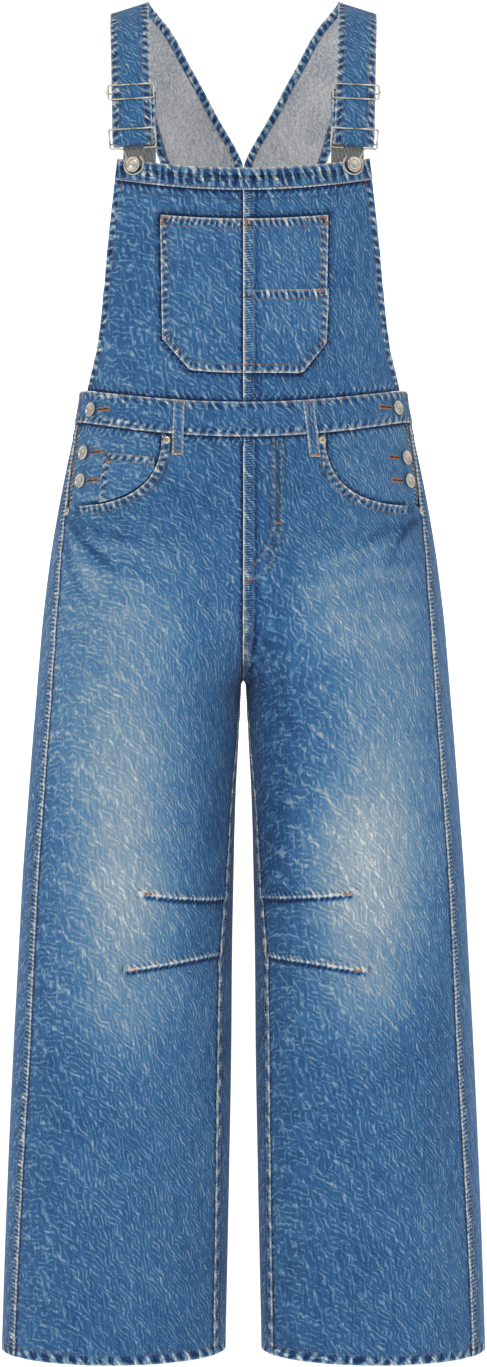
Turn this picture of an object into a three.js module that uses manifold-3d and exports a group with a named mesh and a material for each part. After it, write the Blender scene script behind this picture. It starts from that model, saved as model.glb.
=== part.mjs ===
import * as THREE from 'three';
import { mergeVertices } from 'three/addons/utils/BufferGeometryUtils.js';
import Module from 'manifold-3d';

// Denim dungarees, filled out as when they are worn, in millimetres.
// +Z is up, the front faces -Y and the wearer's left is +X. The origin lies between the two straps,
// at the height where they cross the shoulders, so "down" is the distance below the shoulders.

const CLOTH = 1.4; // one layer of denim
const STRAP_CLOTH = 2; // the strap is two layers pressed together
const BAND_CLOTH = 3; // the waistband is a folded band with the panels' edges inside it
const SEAM_TRIM = 0.15; // each panel stops this far short of its seam line
const LAYER_GAP = 0.3; // between a panel and what is sewn on it
const PATCH_GAP = 0.5; // under a wide patch, whose flat faces sag a little between their corners
const HEM_DOWN = 1405;
const HEM_HEIGHT = 13;
const HEM_STEP = 1; // the wall thickens to the hem's over this height
const CROTCH_DOWN = 704;

// Horizontal sections of one half of the garment, from the chest to the hem. A section is an oval
// from x = inner to x = outer. Above the crotch the oval crosses the centre line and is cut there.
// seam and inseam are the distances of the two leg seams from the oval's ends, on its front side.
const BODY = [
  { down: 120, outer: 187, inner: -187, front: 118, back: 113, seam: 2, inseam: 0 },
  { down: 172, outer: 185, inner: -185, front: 118, back: 110, seam: 2, inseam: 0 },
  { down: 273, outer: 180, inner: -180, front: 117, back: 106, seam: 2, inseam: 0 },
  { down: 334, outer: 176, inner: -176, front: 115, back: 103, seam: 2, inseam: 0 },
  { down: 404, outer: 171, inner: -171, front: 108, back: 102, seam: 2, inseam: 0 },
  { down: 436, outer: 176, inner: -176, front: 110, back: 105, seam: 3, inseam: 0 },
  { down: 484, outer: 186, inner: -186, front: 112, back: 110, seam: 6, inseam: 0 },
  { down: 525, outer: 194, inner: -194, front: 115, back: 114, seam: 10, inseam: 0 },
  { down: 578, outer: 202.7, inner: -120, front: 118, back: 118.5, seam: 14, inseam: 0 },
  { down: 620, outer: 208, inner: -80, front: 118, back: 120.5, seam: 17, inseam: 0 },
  { down: 650, outer: 211.3, inner: -50, front: 117, back: 119.5, seam: 18, inseam: 0 },
  { down: 680, outer: 213.8, inner: -20, front: 115, back: 117, seam: 19, inseam: 0 },
  { down: 697, outer: 215.2, inner: -5, front: 114, back: 114.8, seam: 19, inseam: 0 },
  { down: CROTCH_DOWN, outer: 215.8, inner: 0.3, front: 114, back: 113.8, seam: 19, inseam: 0 },
  { down: 709, outer: 216.2, inner: 3, front: 113, back: 113, seam: 19.5, inseam: 0 },
  { down: 736, outer: 218.4, inner: 4.2, front: 113, back: 110.5, seam: 20, inseam: 1 },
  { down: 767, outer: 221, inner: 5.3, front: 112, back: 107.5, seam: 20, inseam: 2 },
  { down: 830, outer: 225.8, inner: 8.4, front: 107, back: 100, seam: 20, inseam: 4.5 },
  { down: 915, outer: 232, inner: 10.5, front: 101, back: 91, seam: 20, inseam: 7.5 },
  { down: 1000, outer: 236.5, inner: 12, front: 97, back: 88, seam: 20, inseam: 13 },
  { down: 1082, outer: 241, inner: 12.6, front: 94, back: 86, seam: 21, inseam: 14 },
  { down: 1208, outer: 246.8, inner: 14.7, front: 89, back: 83, seam: 19, inseam: 13 },
  { down: 1334, outer: 251.5, inner: 17.3, front: 84, back: 81, seam: 17, inseam: 12 },
  { down: HEM_DOWN, outer: 253.6, inner: 18.9, front: 82, back: 80, seam: 16, inseam: 11.5 },
];

// The largest folds: soft ridges, or troughs where rise is negative, each along a straight line on
// the front or back. reach is how far the fold fades out to each side of its line.
const FOLDS = [
  { face: 'front', x: -174, down: 538, toX: -140, toDown: 566, reach: 9, rise: 3 },
  { face: 'front', x: 178, down: 536, toX: 158, toDown: 560, reach: 9, rise: 3 },
  { face: 'front', x: -28, down: 490, toX: -24, toDown: 650, reach: 22, rise: -3 },
  { face: 'front', x: 30, down: 560, toX: 16, toDown: 660, reach: 16, rise: -2.5 },
  { face: 'front', x: -99, down: 924, toX: -14, toDown: 929, reach: 6, rise: 2 },
  { face: 'front', x: -99, down: 932, toX: -14, toDown: 937, reach: 6, rise: -2 },
  { face: 'front', x: -114, down: 997, toX: -14, toDown: 986, reach: 6, rise: 2 },
  { face: 'front', x: -114, down: 1005, toX: -14, toDown: 994, reach: 6, rise: -2 },
  { face: 'front', x: 14, down: 929, toX: 106, toDown: 923, reach: 6, rise: 2 },
  { face: 'front', x: 14, down: 937, toX: 106, toDown: 931, reach: 6, rise: -2 },
  { face: 'front', x: 14, down: 986, toX: 117, toDown: 998, reach: 6, rise: 2 },
  { face: 'front', x: 14, down: 994, toX: 117, toDown: 1006, reach: 6, rise: -2 },
  { face: 'front', x: -165, down: 1060, toX: -178, toDown: 1390, reach: 30, rise: 3 },
  { face: 'front', x: -70, down: 1120, toX: -62, toDown: 1390, reach: 34, rise: -3 },
  { face: 'front', x: 172, down: 1090, toX: 184, toDown: 1390, reach: 32, rise: 3 },
  { face: 'front', x: 84, down: 1060, toX: 74, toDown: 1390, reach: 30, rise: -2.5 },
  { face: 'back', x: -40, down: 668, toX: -150, toDown: 622, reach: 17, rise: -2.2 },
  { face: 'back', x: 36, down: 676, toX: 140, toDown: 636, reach: 16, rise: -2 },
  { face: 'back', x: -60, down: 966, toX: -190, toDown: 940, reach: 14, rise: -4 },
  { face: 'back', x: 54, down: 950, toX: 180, toDown: 976, reach: 15, rise: -4 },
  { face: 'back', x: -150, down: 1040, toX: -162, toDown: 1390, reach: 34, rise: 4 },
  { face: 'back', x: -66, down: 1100, toX: -72, toDown: 1390, reach: 30, rise: -3.5 },
  { face: 'back', x: 140, down: 1080, toX: 158, toDown: 1390, reach: 32, rise: -3.5 },
  { face: 'back', x: 70, down: 1040, toX: 64, toDown: 1390, reach: 34, rise: 4 },
];
const FOLD_END = 26; // a fold fades out over this length at each end
const FOLD_TAIL = 3; // and past this many times its reach to the sides
const SIDE_FADE = { from: 0.05, to: 0.3 }; // folds fade out towards the oval's ends, by the turn's sine

const BIB = { topMiddle: 188, topRise: 16, topHalf: 129, bandHeight: 22 };
const BIB_EDGE = [
  { down: 165, half: 128 },
  { down: 172, half: 128.5 },
  { down: 212, half: 134 },
  { down: 273, half: 140.7 },
  { down: 334, half: 147 },
  { down: 364, half: 152 },
  { down: 393, half: 159.6 },
  { down: 425, half: 170 },
];
const WAIST = {
  frontTop: 423, frontTopRise: 19, topHalf: 165,
  frontBottom: 458, frontBottomRise: 22, bottomHalf: 172,
  sideTop: 404, backTop: 398, sideBottom: 436, backBottom: 431,
};

// The patch pocket on the bib: its halves meet on the centre seam, and a shorter pocket lies on the
// lower part of the wearer's left half.
const BIB_POCKET = {
  right: { topX: 84, topDown: 233, sideX: 82, sideDown: 358, cornerX: 54, cornerDown: 390 },
  left: { topX: 85.5, topDown: 233, sideX: 83.5, sideDown: 362, cornerX: 59, cornerDown: 393 },
  topMiddle: 239, bottomMiddle: 393.5, lowerTopMiddle: 311, lowerTopSide: 307.5,
};

// The curved front pocket opening is a quarter of a rounded oval that ends level at the side.
const POCKET = { centreX: 168, topDown: 453, reachX: 85, reachDown: 72, power: 2.45 };
// The facing dips by deeper where it runs in behind the panel, between two shares of the opening.
const FACING = { innerX: 70, bottomDown: 541, depth: 1.9, deeper: 1.3, dipFrom: 0.84, dipTo: 0.95 };
const COIN = {
  outerX: 144, outerDown: 470.5, innerX: 91, innerDown: 478, lean: 5, edgeGap: 1.2, depth: 0.2,
};
const PLACKET = { depth: 5.2, behind: 8, width: 32, topDown: 408, bottomDown: 612 };

const BUTTONS = [
  { name: 'button_waist_right', x: -154.5, down: 426.1, on: 'band' },
  { name: 'button_waist_left', x: 156.3, down: 423.8, on: 'band' },
  { name: 'button_side_upper_right', x: -165, down: 469.5, on: 'facing' },
  { name: 'button_side_lower_right', x: -168, down: 498.7, on: 'facing' },
  { name: 'button_side_upper_left', x: 168.2, down: 474.6, on: 'facing' },
  { name: 'button_side_lower_left', x: 171.5, down: 498.6, on: 'facing' },
];
const RIVETS = [
  { name: 'rivet_upper_right', x: -77.6, down: 461 },
  { name: 'rivet_upper_left', x: 80, down: 461 },
  { name: 'rivet_lower_right', x: -181.4, down: 530.5 },
  { name: 'rivet_lower_left', x: 183, down: 529.5 },
];
const LOOPS = [
  { name: 'belt_loop_front_right', face: 'front', x: -64.4, toX: -66.6, down: 421, toDown: 476 },
  { name: 'belt_loop_front_left', face: 'front', x: 65, toX: 72.4, down: 421, toDown: 478 },
  { name: 'belt_loop_back_right', face: 'back', x: -96, toX: -97, down: 400, toDown: 452 },
  { name: 'belt_loop_back_middle', face: 'back', x: 0, toX: 0, down: 398.5, toDown: 450 },
  { name: 'belt_loop_back_left', face: 'back', x: 96, toX: 97, down: 400, toDown: 452 },
];
// A loop stands over the band, and comes down on the panel between two distances below the band.
const LOOP = { width: 11, leaves: 1, rests: 12 };

// Edges of one back half, cut in one with its strap, from the back waist over the shoulder to the
// fold behind the hook. Below the top of the back its points lie on the body's oval.
const STRAP = [
  { ix: 0.15, iy: 102, idown: 397.7, ox: 162, oy: 33, odown: 403.3 },
  { ix: 0.15, iy: 102, idown: 378, ox: 146, oy: 54, odown: 382 },
  { ix: 0.15, iy: 103, idown: 340, ox: 122, oy: 74, odown: 340 },
  { ix: 0.15, iy: 105, idown: 290, ox: 100, oy: 87, odown: 290 },
  { ix: 0.15, iy: 108, idown: 230, ox: 84, oy: 96, odown: 230 },
  { ix: 0.15, iy: 109, idown: 208, ox: 78, oy: 99, odown: 208 },
  { ix: 0.15, iy: 110, idown: 180, ox: 80, oy: 99, odown: 180 },
  { ix: 0.3, iy: 112, idown: 146, ox: 90, oy: 98, odown: 146 },
  { ix: 4, iy: 111, idown: 135, ox: 94, oy: 97, odown: 135 },
  { ix: 29.9, iy: 94, idown: 90, ox: 106, oy: 86, odown: 93 },
  { ix: 56.1, iy: 74, idown: 46, ox: 118, oy: 68, odown: 54 },
  { ix: 77.7, iy: 44, idown: 12, ox: 128, oy: 40, odown: 23 },
  { ix: 99, iy: 0, idown: -7, ox: 139.6, oy: 0, odown: 6 },
  { ix: 98.6, iy: -38, idown: 9, ox: 138.4, oy: -38, odown: 19.5 },
  { ix: 97.3, iy: -62, idown: 38, ox: 137, oy: -62, odown: 46 },
  { ix: 95.6, iy: -78.5, idown: 82.5, ox: 135.4, oy: -77.5, odown: 87 },
  { ix: 94.8, iy: -82, idown: 100, ox: 135.1, oy: -80.4, odown: 104 },
  { ix: 93.6, iy: -87, idown: 128, ox: 134.4, oy: -84.5, odown: 131.5 },
  { ix: 92.4, iy: -90, idown: 155, ox: 133.7, oy: -86.5, odown: 158 },
];
const FOLD_RADIUS = 3.3; // of the strap's outer face where it turns up round the hook's lower bar
const RETURN_SHIFT = 3.5; // the doubled layer lies this far towards the neck
const NECK_ROW = 8; // of STRAP: above it the two halves part
const SHOULDER_ROW = 12; // of STRAP: the top of the shoulder
const BACK_REST = { from: 60, to: 140 }; // over these distances down, the back comes to lie on the oval
const TAIL = { innerX: 89.5, outerX: 123, topDown: 102, bottomDown: 178 };

const WIRE = 1; // radius of the buckle wire
const WIRE_SIDES = 5;
const WIRE_BEND = 2.5;
const METAL_GAP = 0.4; // between metal and the cloth that it lies on
const WIRE_JOIN = 0.4; // the two halves of a wire shape overlap by this each side of the middle
const SLIDE = { down: 103.7, halfWidth: 23.4, halfHeight: 7.6, knob: 1.8, knobShift: 0.6 };
const HOOK = {
  barDown: 142.5, halfWidth: 23.6, shoulderX: 10.2, neckRise: 7, ring: 9.7, lowerBar: 0.85,
  sideDrop: 3, footRise: 2, footDrop: 5.4, barPast: 0.07, ringPast: 0.08,
};
const BIB_BUTTON = { x: 110.2, down: 180.8 };

const COLOURS = {
  denim: 0x4f7fae, band: 0x5b88b2, pocket: 0x54779a, wrongSide: 0x9a9ea4, metal: 0xc9c2b6,
};

const wasm = await Module();
wasm.setup();

const clamp = (value, low, high) => Math.min(Math.max(value, low), high);
const mix = (from, to, share) => from + (to - from) * share;
const ease = (from, to, value) => {
  const share = clamp((value - from) / (to - from), 0, 1);
  return share * share * (3 - 2 * share);
};
const steps = (count) => Array.from({ length: count + 1 }, (_, index) => index / count);

// A smooth curve through one column of a table, with no overshoot between its rows.
function tableCurve(rows, along, column) {
  const at = rows.map((row) => row[along]);
  const value = rows.map((row) => row[column]);
  const rise = at.slice(1).map((next, i) => (value[i + 1] - value[i]) / (next - at[i]));
  const slope = value.map((_, i) => {
    if (i === 0) return rise[0];
    if (i === rise.length) return rise[i - 1];
    const product = rise[i - 1] * rise[i];
    return product > 0 ? (2 * product) / (rise[i - 1] + rise[i]) : 0;
  });
  return (position) => {
    const here = clamp(position, at[0], at.at(-1));
    let i = 0;
    while (i < at.length - 2 && here > at[i + 1]) i += 1;
    const width = at[i + 1] - at[i];
    const t = (here - at[i]) / width;
    const bend = t * (1 - t) * width;
    return mix(value[i], value[i + 1], t * t * (3 - 2 * t))
      + bend * (slope[i] * (1 - t) - slope[i + 1] * t);
  };
}

const body = {};
for (const column of ['outer', 'inner', 'front', 'back', 'seam', 'inseam']) {
  body[column] = tableCurve(BODY, 'down', column);
}
const bibHalf = tableCurve(BIB_EDGE, 'down', 'half');

function foldRise(x, down, face) {
  let total = 0;
  for (const fold of FOLDS) {
    if (fold.face !== face) continue;
    const lineX = fold.toX - fold.x;
    const lineDown = fold.toDown - fold.down;
    const length = Math.hypot(lineX, lineDown);
    const along = ((x - fold.x) * lineX + (down - fold.down) * lineDown) / length;
    const beside = ((x - fold.x) * lineDown - (down - fold.down) * lineX) / length;
    if (Math.abs(beside) > FOLD_TAIL * fold.reach) continue;
    const fade = ease(-FOLD_END, FOLD_END, along) * ease(-FOLD_END, FOLD_END, length - along);
    total += fold.rise * fade * Math.exp(-((beside / fold.reach) ** 2));
  }
  return total;
}

// A point of the body. turn is 0 at the outer end of the oval, grows over the front to PI at the
// inner end, and is negative over the back. side is 1 on the wearer's left and -1 on the right.
function bodyPoint(turn, down, side) {
  const outer = body.outer(down);
  const inner = body.inner(down);
  const half = (outer - inner) / 2;
  const sin = Math.sin(turn);
  const face = sin > 0 ? 'front' : 'back';
  const depth = body[face](down);
  const x = (outer + inner) / 2 + half * Math.cos(turn);
  const flat = new THREE.Vector3(Math.cos(turn) / half, -sin / depth, 0).normalize();
  const fade = ease(SIDE_FADE.from, SIDE_FADE.to, Math.abs(sin));
  const rise = fade * foldRise(side * x, down, face);
  return new THREE.Vector3(side * (x + flat.x * rise), -depth * sin + flat.y * rise, -down);
}

function turnAtX(x, down) {
  const outer = body.outer(down);
  const inner = body.inner(down);
  return Math.acos(clamp((2 * x - outer - inner) / (outer - inner), -1, 1));
}

const sideTurn = (down) => turnAtX(body.outer(down) - body.seam(down), down);

// Where the front and back panels end towards the centre seam or the inseam.
function innerTurn(down, face) {
  const half = (body.outer(down) - body.inner(down)) / 2;
  const gap = SEAM_TRIM / body[face](down);
  const seam = Math.acos(clamp(1 - body.inseam(down) / half, -1, 1));
  const end = face === 'front' ? Math.PI - seam - gap : Math.PI + seam - gap;
  if (down > CROTCH_DOWN) return end;
  return Math.min(turnAtX(SEAM_TRIM, down), Math.PI - gap);
}

// A closed wall over a surface. u runs over the list across and v over the list along. The outward
// normal is that of u crossed with v, turned round on the mirrored side.
function sheetSolid({ surface, across, along, inner, outer, side = 1 }) {
  const nudge = 1e-3;
  const [firstU, lastU] = [across[0], across.at(-1)];
  const [firstV, lastV] = [along[0], along.at(-1)];
  const points = { outer: [], inner: [] };
  const offset = (wall, u, v, point) => (typeof wall === 'function' ? wall(u, v, point) : wall);
  for (const v of along) {
    for (const u of across) {
      const here = surface(u, v);
      const overU = surface(Math.min(u + nudge, lastU), v).sub(surface(Math.max(u - nudge, firstU), v));
      const overV = surface(u, Math.min(v + nudge, lastV)).sub(surface(u, Math.max(v - nudge, firstV)));
      const normal = overU.cross(overV).normalize().multiplyScalar(side);
      points.outer.push(here.clone().addScaledVector(normal, offset(outer, u, v, here)));
      points.inner.push(here.clone().addScaledVector(normal, offset(inner, u, v, here)));
    }
  }
  const wide = across.length;
  const layer = wide * along.length;
  const positions = [...points.outer, ...points.inner].flatMap((point) => point.toArray());
  const faces = [];
  const quad = (a, b, c, d) => faces.push(a, b, c, a, c, d);
  for (let row = 0; row < along.length - 1; row += 1) {
    for (let column = 0; column < wide - 1; column += 1) {
      const a = row * wide + column;
      quad(a, a + 1, a + wide + 1, a + wide);
      quad(layer + a, layer + a + wide, layer + a + wide + 1, layer + a + 1);
    }
    const [left, right] = [row * wide, row * wide + wide - 1];
    quad(left, left + wide, layer + left + wide, layer + left);
    quad(right, layer + right, layer + right + wide, right + wide);
  }
  for (let column = 0; column < wide - 1; column += 1) {
    const [top, bottom] = [column, (along.length - 1) * wide + column];
    quad(top, layer + top, layer + top + 1, top + 1);
    quad(bottom, bottom + 1, layer + bottom + 1, layer + bottom);
  }
  if (side < 0) {
    for (let i = 0; i < faces.length; i += 3) [faces[i + 1], faces[i + 2]] = [faces[i + 2], faces[i + 1]];
  }
  const geometry = new THREE.BufferGeometry();
  geometry.setAttribute('position', new THREE.Float32BufferAttribute(positions, 3));
  geometry.setIndex(faces);
  return geometry;
}

const part = new THREE.Group();

function addMesh(name, geometry, colour, metal = false) {
  const material = new THREE.MeshStandardMaterial({
    color: colour, roughness: metal ? 0.32 : 0.88, metalness: metal ? 1 : 0,
  });
  const mesh = new THREE.Mesh(geometry, material);
  mesh.name = name;
  part.add(mesh);
  return mesh;
}

const SIDES = [{ word: 'left', side: 1 }, { word: 'right', side: -1 }];

// Height of the waistband's edges and of the bib's top, as a distance down, by x.
const bandTop = (x) => WAIST.frontTop - WAIST.frontTopRise * (x / WAIST.topHalf) ** 2;
const bandBottom = (x) => WAIST.frontBottom - WAIST.frontBottomRise * (x / WAIST.bottomHalf) ** 2;
const bibTop = (x) => BIB.topMiddle - BIB.topRise * (x / BIB.topHalf) ** 2;
const backEdge = (middle, end, x) => mix(middle, end, clamp(Math.abs(x) / WAIST.bottomHalf, 0, 1));

// Trousers

// The point of the front panel's upper edge at a share u of the way from the side to the centre:
// level along the pocket's bottom, up its curve, then along the waistband.
const PANEL_COLUMNS = 13;
const PANEL_PARTS = { level: 1 / PANEL_COLUMNS, curve: 8 / PANEL_COLUMNS };
function panelTop(u) {
  const { level, curve } = PANEL_PARTS;
  const bottom = POCKET.topDown + POCKET.reachDown;
  const sideX = body.outer(bottom) - body.seam(bottom);
  if (u <= level) return { x: mix(sideX, POCKET.centreX, u / level), down: bottom };
  if (u <= curve) {
    const angle = (Math.PI / 2) * (1 - (u - level) / (curve - level));
    return {
      x: POCKET.centreX - POCKET.reachX * Math.cos(angle) ** (2 / POCKET.power),
      down: POCKET.topDown + POCKET.reachDown * Math.sin(angle) ** (2 / POCKET.power),
    };
  }
  const x = mix(POCKET.centreX - POCKET.reachX, SEAM_TRIM, (u - curve) / (1 - curve));
  return { x, down: bandBottom(x) + LAYER_GAP };
}

const LEVEL_ROWS = [
  548, 574, 604, 634, 660, 680, 694, CROTCH_DOWN, 710, 740, 800, 870, 926, 935, 962, 991, 1001, 1050,
  1130, 1220, 1310, HEM_DOWN - HEM_HEIGHT - HEM_STEP, HEM_DOWN - HEM_HEIGHT, HEM_DOWN,
];
const FRONT_BLEND_ROWS = 3;
const EVEN_DOWN = 600; // below this the front panel's columns are evenly spread

function rowDown(top, v, blendRows) {
  if (v <= blendRows) return mix(top, LEVEL_ROWS[0], v / blendRows);
  const index = Math.min(Math.floor(v - blendRows), LEVEL_ROWS.length - 2);
  return mix(LEVEL_ROWS[index], LEVEL_ROWS[index + 1], v - blendRows - index);
}

const hemWall = (u, v, point) => (
  -point.z > HEM_DOWN - HEM_HEIGHT - HEM_STEP / 2 ? -2 * CLOTH : -CLOTH
);

function frontLeg(side) {
  const surface = (u, v) => {
    const top = panelTop(u);
    const down = rowDown(top.down, v, FRONT_BLEND_ROWS);
    const start = (at) => sideTurn(at) + SEAM_TRIM / body.front(at);
    const span = (at) => innerTurn(at, 'front') - start(at);
    const topShare = clamp((turnAtX(top.x, top.down) - start(top.down)) / span(top.down), 0, 1);
    const share = mix(topShare, u, ease(top.down, EVEN_DOWN, down));
    return bodyPoint(start(down) + span(down) * share, down, side);
  };
  const rows = FRONT_BLEND_ROWS + LEVEL_ROWS.length - 1;
  return sheetSolid({
    surface, across: steps(PANEL_COLUMNS), along: steps(rows).map((share) => share * rows),
    inner: hemWall, outer: 0, side,
  });
}

const BACK_BLEND_ROWS = 4;

function backLeg(side) {
  const surface = (u, v) => {
    const turn = (down) => (
      mix(-innerTurn(down, 'back'), sideTurn(down) - SEAM_TRIM / body.front(down), u)
    );
    const topX = bodyPoint(turn(WAIST.sideBottom), WAIST.sideBottom, 1).x;
    const top = backEdge(WAIST.backBottom, WAIST.sideBottom, topX) + LAYER_GAP;
    const down = rowDown(top, v, BACK_BLEND_ROWS);
    return bodyPoint(turn(down), down, side);
  };
  const rows = BACK_BLEND_ROWS + LEVEL_ROWS.length - 1;
  return sheetSolid({
    surface, across: steps(PANEL_COLUMNS), along: steps(rows).map((share) => share * rows),
    inner: hemWall, outer: 0, side,
  });
}

// How far a point lies across the pocket opening: 0 in its upper corner, 1 on its edge.
function openingShare(x, down) {
  const beside = Math.max(0, (POCKET.centreX - x) / POCKET.reachX);
  const below = Math.max(0, (down - POCKET.topDown) / POCKET.reachDown);
  return (beside ** POCKET.power + below ** POCKET.power) ** (1 / POCKET.power);
}

// The facing shows inside the pocket opening and runs on behind the panel's edge, where it dips.
function hipFacing(side) {
  const surface = (u, v) => {
    const start = (down) => sideTurn(down) + SEAM_TRIM / body.front(down);
    const edge = (down) => mix(start(down), turnAtX(FACING.innerX, down), u);
    const topX = bodyPoint(edge(WAIST.sideBottom), WAIST.sideBottom, 1).x;
    const down = mix(bandBottom(topX) + LAYER_GAP, FACING.bottomDown, v);
    return bodyPoint(edge(down), down, side);
  };
  const depth = (point) => -FACING.depth
    - FACING.deeper * ease(FACING.dipFrom, FACING.dipTo, openingShare(Math.abs(point.x), -point.z));
  return sheetSolid({
    surface, across: steps(9), along: steps(8), side,
    outer: (u, v, point) => depth(point), inner: (u, v, point) => depth(point) - CLOTH,
  });
}

function sidePlacket(side) {
  const surface = (u, v) => {
    const down = mix(PLACKET.topDown, PLACKET.bottomDown, v);
    const start = sideTurn(down) - PLACKET.behind / body.front(down);
    return bodyPoint(start + (u * PLACKET.width) / body.front(down), down, side);
  };
  return sheetSolid({
    surface, across: steps(3), along: steps(10), side,
    outer: -PLACKET.depth, inner: -PLACKET.depth - CLOTH,
  });
}

// The coin pocket lies on the facing of the wearer's right pocket, down to the opening's edge.
function coinPocket() {
  const surface = (u, v) => {
    const topX = mix(COIN.outerX, COIN.innerX, u);
    const top = mix(COIN.outerDown, COIN.innerDown, u);
    const beside = clamp((POCKET.centreX - topX) / POCKET.reachX, 0, 1);
    const height = (1 - beside ** POCKET.power) ** (1 / POCKET.power);
    const flattest = 0.3;
    const bottom = POCKET.topDown + POCKET.reachDown * height - COIN.edgeGap / Math.max(height, flattest);
    const down = mix(top, bottom, v);
    const x = topX + COIN.lean * v * (1 - u);
    return bodyPoint(turnAtX(x, down), down, -1);
  };
  return sheetSolid({
    surface, across: steps(6), along: steps(5), side: -1,
    outer: -COIN.depth, inner: LAYER_GAP - FACING.depth,
  });
}

// Waistband, in a front and a back length that meet at the side openings

function bandSolid({ from, to, topAt, bottomAt, columns }) {
  const surface = (u, v) => {
    const turn = (down) => mix(from(down), to(down), u);
    const x = (down) => body.outer(down) * Math.cos(turn(down));
    const top = topAt(x(topAt(x(WAIST.sideTop))));
    const bottom = bottomAt(x(bottomAt(x(WAIST.sideBottom))));
    const down = mix(top, bottom, v);
    return bodyPoint(turn(down), down, 1);
  };
  return sheetSolid({
    surface, across: steps(columns), along: steps(3), inner: -CLOTH, outer: BAND_CLOTH - CLOTH,
  });
}

function frontBand() {
  const end = (down) => sideTurn(down) + SEAM_TRIM / body.front(down);
  return bandSolid({
    from: end, to: (down) => Math.PI - end(down), topAt: bandTop, bottomAt: bandBottom, columns: 24,
  });
}

function backBand() {
  const end = (down) => sideTurn(down) - SEAM_TRIM / body.front(down);
  return bandSolid({
    from: (down) => -Math.PI - end(down), to: end, columns: 24,
    topAt: (x) => backEdge(WAIST.backTop, WAIST.sideTop, x),
    bottomAt: (x) => backEdge(WAIST.backBottom, WAIST.sideBottom, x),
  });
}

function beltLoop({ face, x, toX, down, toDown }) {
  const sign = face === 'front' ? 1 : -1;
  const surface = (u, v) => {
    const at = mix(down, toDown, v);
    const here = mix(x, toX, v) + sign * LOOP.width * (0.5 - u);
    return bodyPoint(sign * turnAtX(here, at), at, 1);
  };
  const bottomEdge = face === 'front' ? bandBottom(toX) : backEdge(WAIST.backBottom, WAIST.sideBottom, toX);
  const lift = (v) => {
    const clear = ease(bottomEdge + LOOP.rests, bottomEdge + LOOP.leaves, mix(down, toDown, v));
    return LAYER_GAP + (BAND_CLOTH - CLOTH) * clear;
  };
  return sheetSolid({
    surface, across: steps(1), along: steps(8),
    inner: (u, v) => lift(v), outer: (u, v) => lift(v) + CLOTH,
  });
}

// Bib

function bibHalfPanel(side) {
  const surface = (u, v) => {
    const x = (down) => mix(bibHalf(down), SEAM_TRIM, u);
    const top = bibTop(x(BIB.topMiddle - BIB.topRise));
    const bottom = bandTop(x(bandTop(x(WAIST.sideTop)))) - LAYER_GAP;
    const down = mix(top, bottom, v);
    return bodyPoint(turnAtX(x(down), down), down, side);
  };
  return sheetSolid({ surface, across: steps(9), along: steps(14), inner: -CLOTH, outer: 0, side });
}

function bibTopBand() {
  const surface = (u, v) => {
    const half = bibHalf(BIB.topMiddle - BIB.topRise + v * BIB.bandHeight) - LAYER_GAP;
    const x = mix(half, -half, u);
    const down = bibTop(x) + v * BIB.bandHeight;
    return bodyPoint(turnAtX(x, down), down, 1);
  };
  return sheetSolid({
    surface, across: steps(16), along: steps(1), inner: LAYER_GAP, outer: LAYER_GAP + CLOTH,
  });
}

// Half of the patch pocket between two lines across it, at a height above the bib.
function pocketPatch(shape, side, topMiddle, topSide, lift) {
  const surface = (u, v) => {
    const share = 1 - u;
    const straight = mix(shape.topX, shape.sideX, v);
    const x = mix(SEAM_TRIM, straight, share);
    const top = mix(topMiddle, topSide, share * share);
    const chamfer = Math.max(0, (x - shape.cornerX) / (shape.sideX - shape.cornerX));
    const bottom = x < shape.cornerX
      ? mix(BIB_POCKET.bottomMiddle, shape.cornerDown, (x / shape.cornerX) ** 2)
      : mix(shape.cornerDown, shape.sideDown, Math.min(1, chamfer));
    const down = mix(top, bottom, v);
    return bodyPoint(turnAtX(x, down), down, side);
  };
  const corner = 1 - shape.cornerX / shape.sideX;
  const across = [0, corner / 2, corner, ...steps(5).slice(1).map((share) => mix(corner, 1, share))];
  return sheetSolid({ surface, across, along: steps(6), inner: lift, outer: lift + CLOTH, side });
}

// Back halves and straps

// The rows of STRAP, then the turn round the hook's lower bar and the layer that runs up behind.
function strapRows() {
  const rows = STRAP.map((row) => ({ ...row }));
  const last = rows.at(-1);
  const moved = (back, below, shift) => ({
    ix: last.ix - shift, iy: last.iy + back, idown: last.idown + below,
    ox: last.ox - shift, oy: last.oy + back, odown: last.odown + below,
  });
  for (const angle of [45, 90, 135, 180]) {
    const turn = THREE.MathUtils.degToRad(angle);
    const back = FOLD_RADIUS * (1 - Math.cos(turn));
    rows.push(moved(back, FOLD_RADIUS * Math.sin(turn), (RETURN_SHIFT * angle) / 360));
  }
  for (const front of [STRAP.at(-2), STRAP.at(-3)]) {
    rows.push({
      ix: front.ix - RETURN_SHIFT, iy: front.iy + 2 * FOLD_RADIUS, idown: front.idown,
      ox: front.ox - RETURN_SHIFT, oy: front.oy + 2 * FOLD_RADIUS, odown: front.odown,
    });
  }
  let length = 0;
  rows.forEach((row, i) => {
    if (i > 0) {
      const before = rows[i - 1];
      length += Math.hypot(
        (row.ix + row.ox - before.ix - before.ox) / 2,
        (row.iy + row.oy - before.iy - before.oy) / 2,
        (row.idown + row.odown - before.idown - before.odown) / 2,
      );
    }
    row.run = length;
  });
  return rows;
}

const strapTable = strapRows();
const strap = {};
for (const column of ['ix', 'iy', 'idown', 'ox', 'oy', 'odown']) {
  strap[column] = tableCurve(strapTable, 'run', column);
}
const SHOULDER_RUN = strapTable[SHOULDER_ROW].run;

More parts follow.
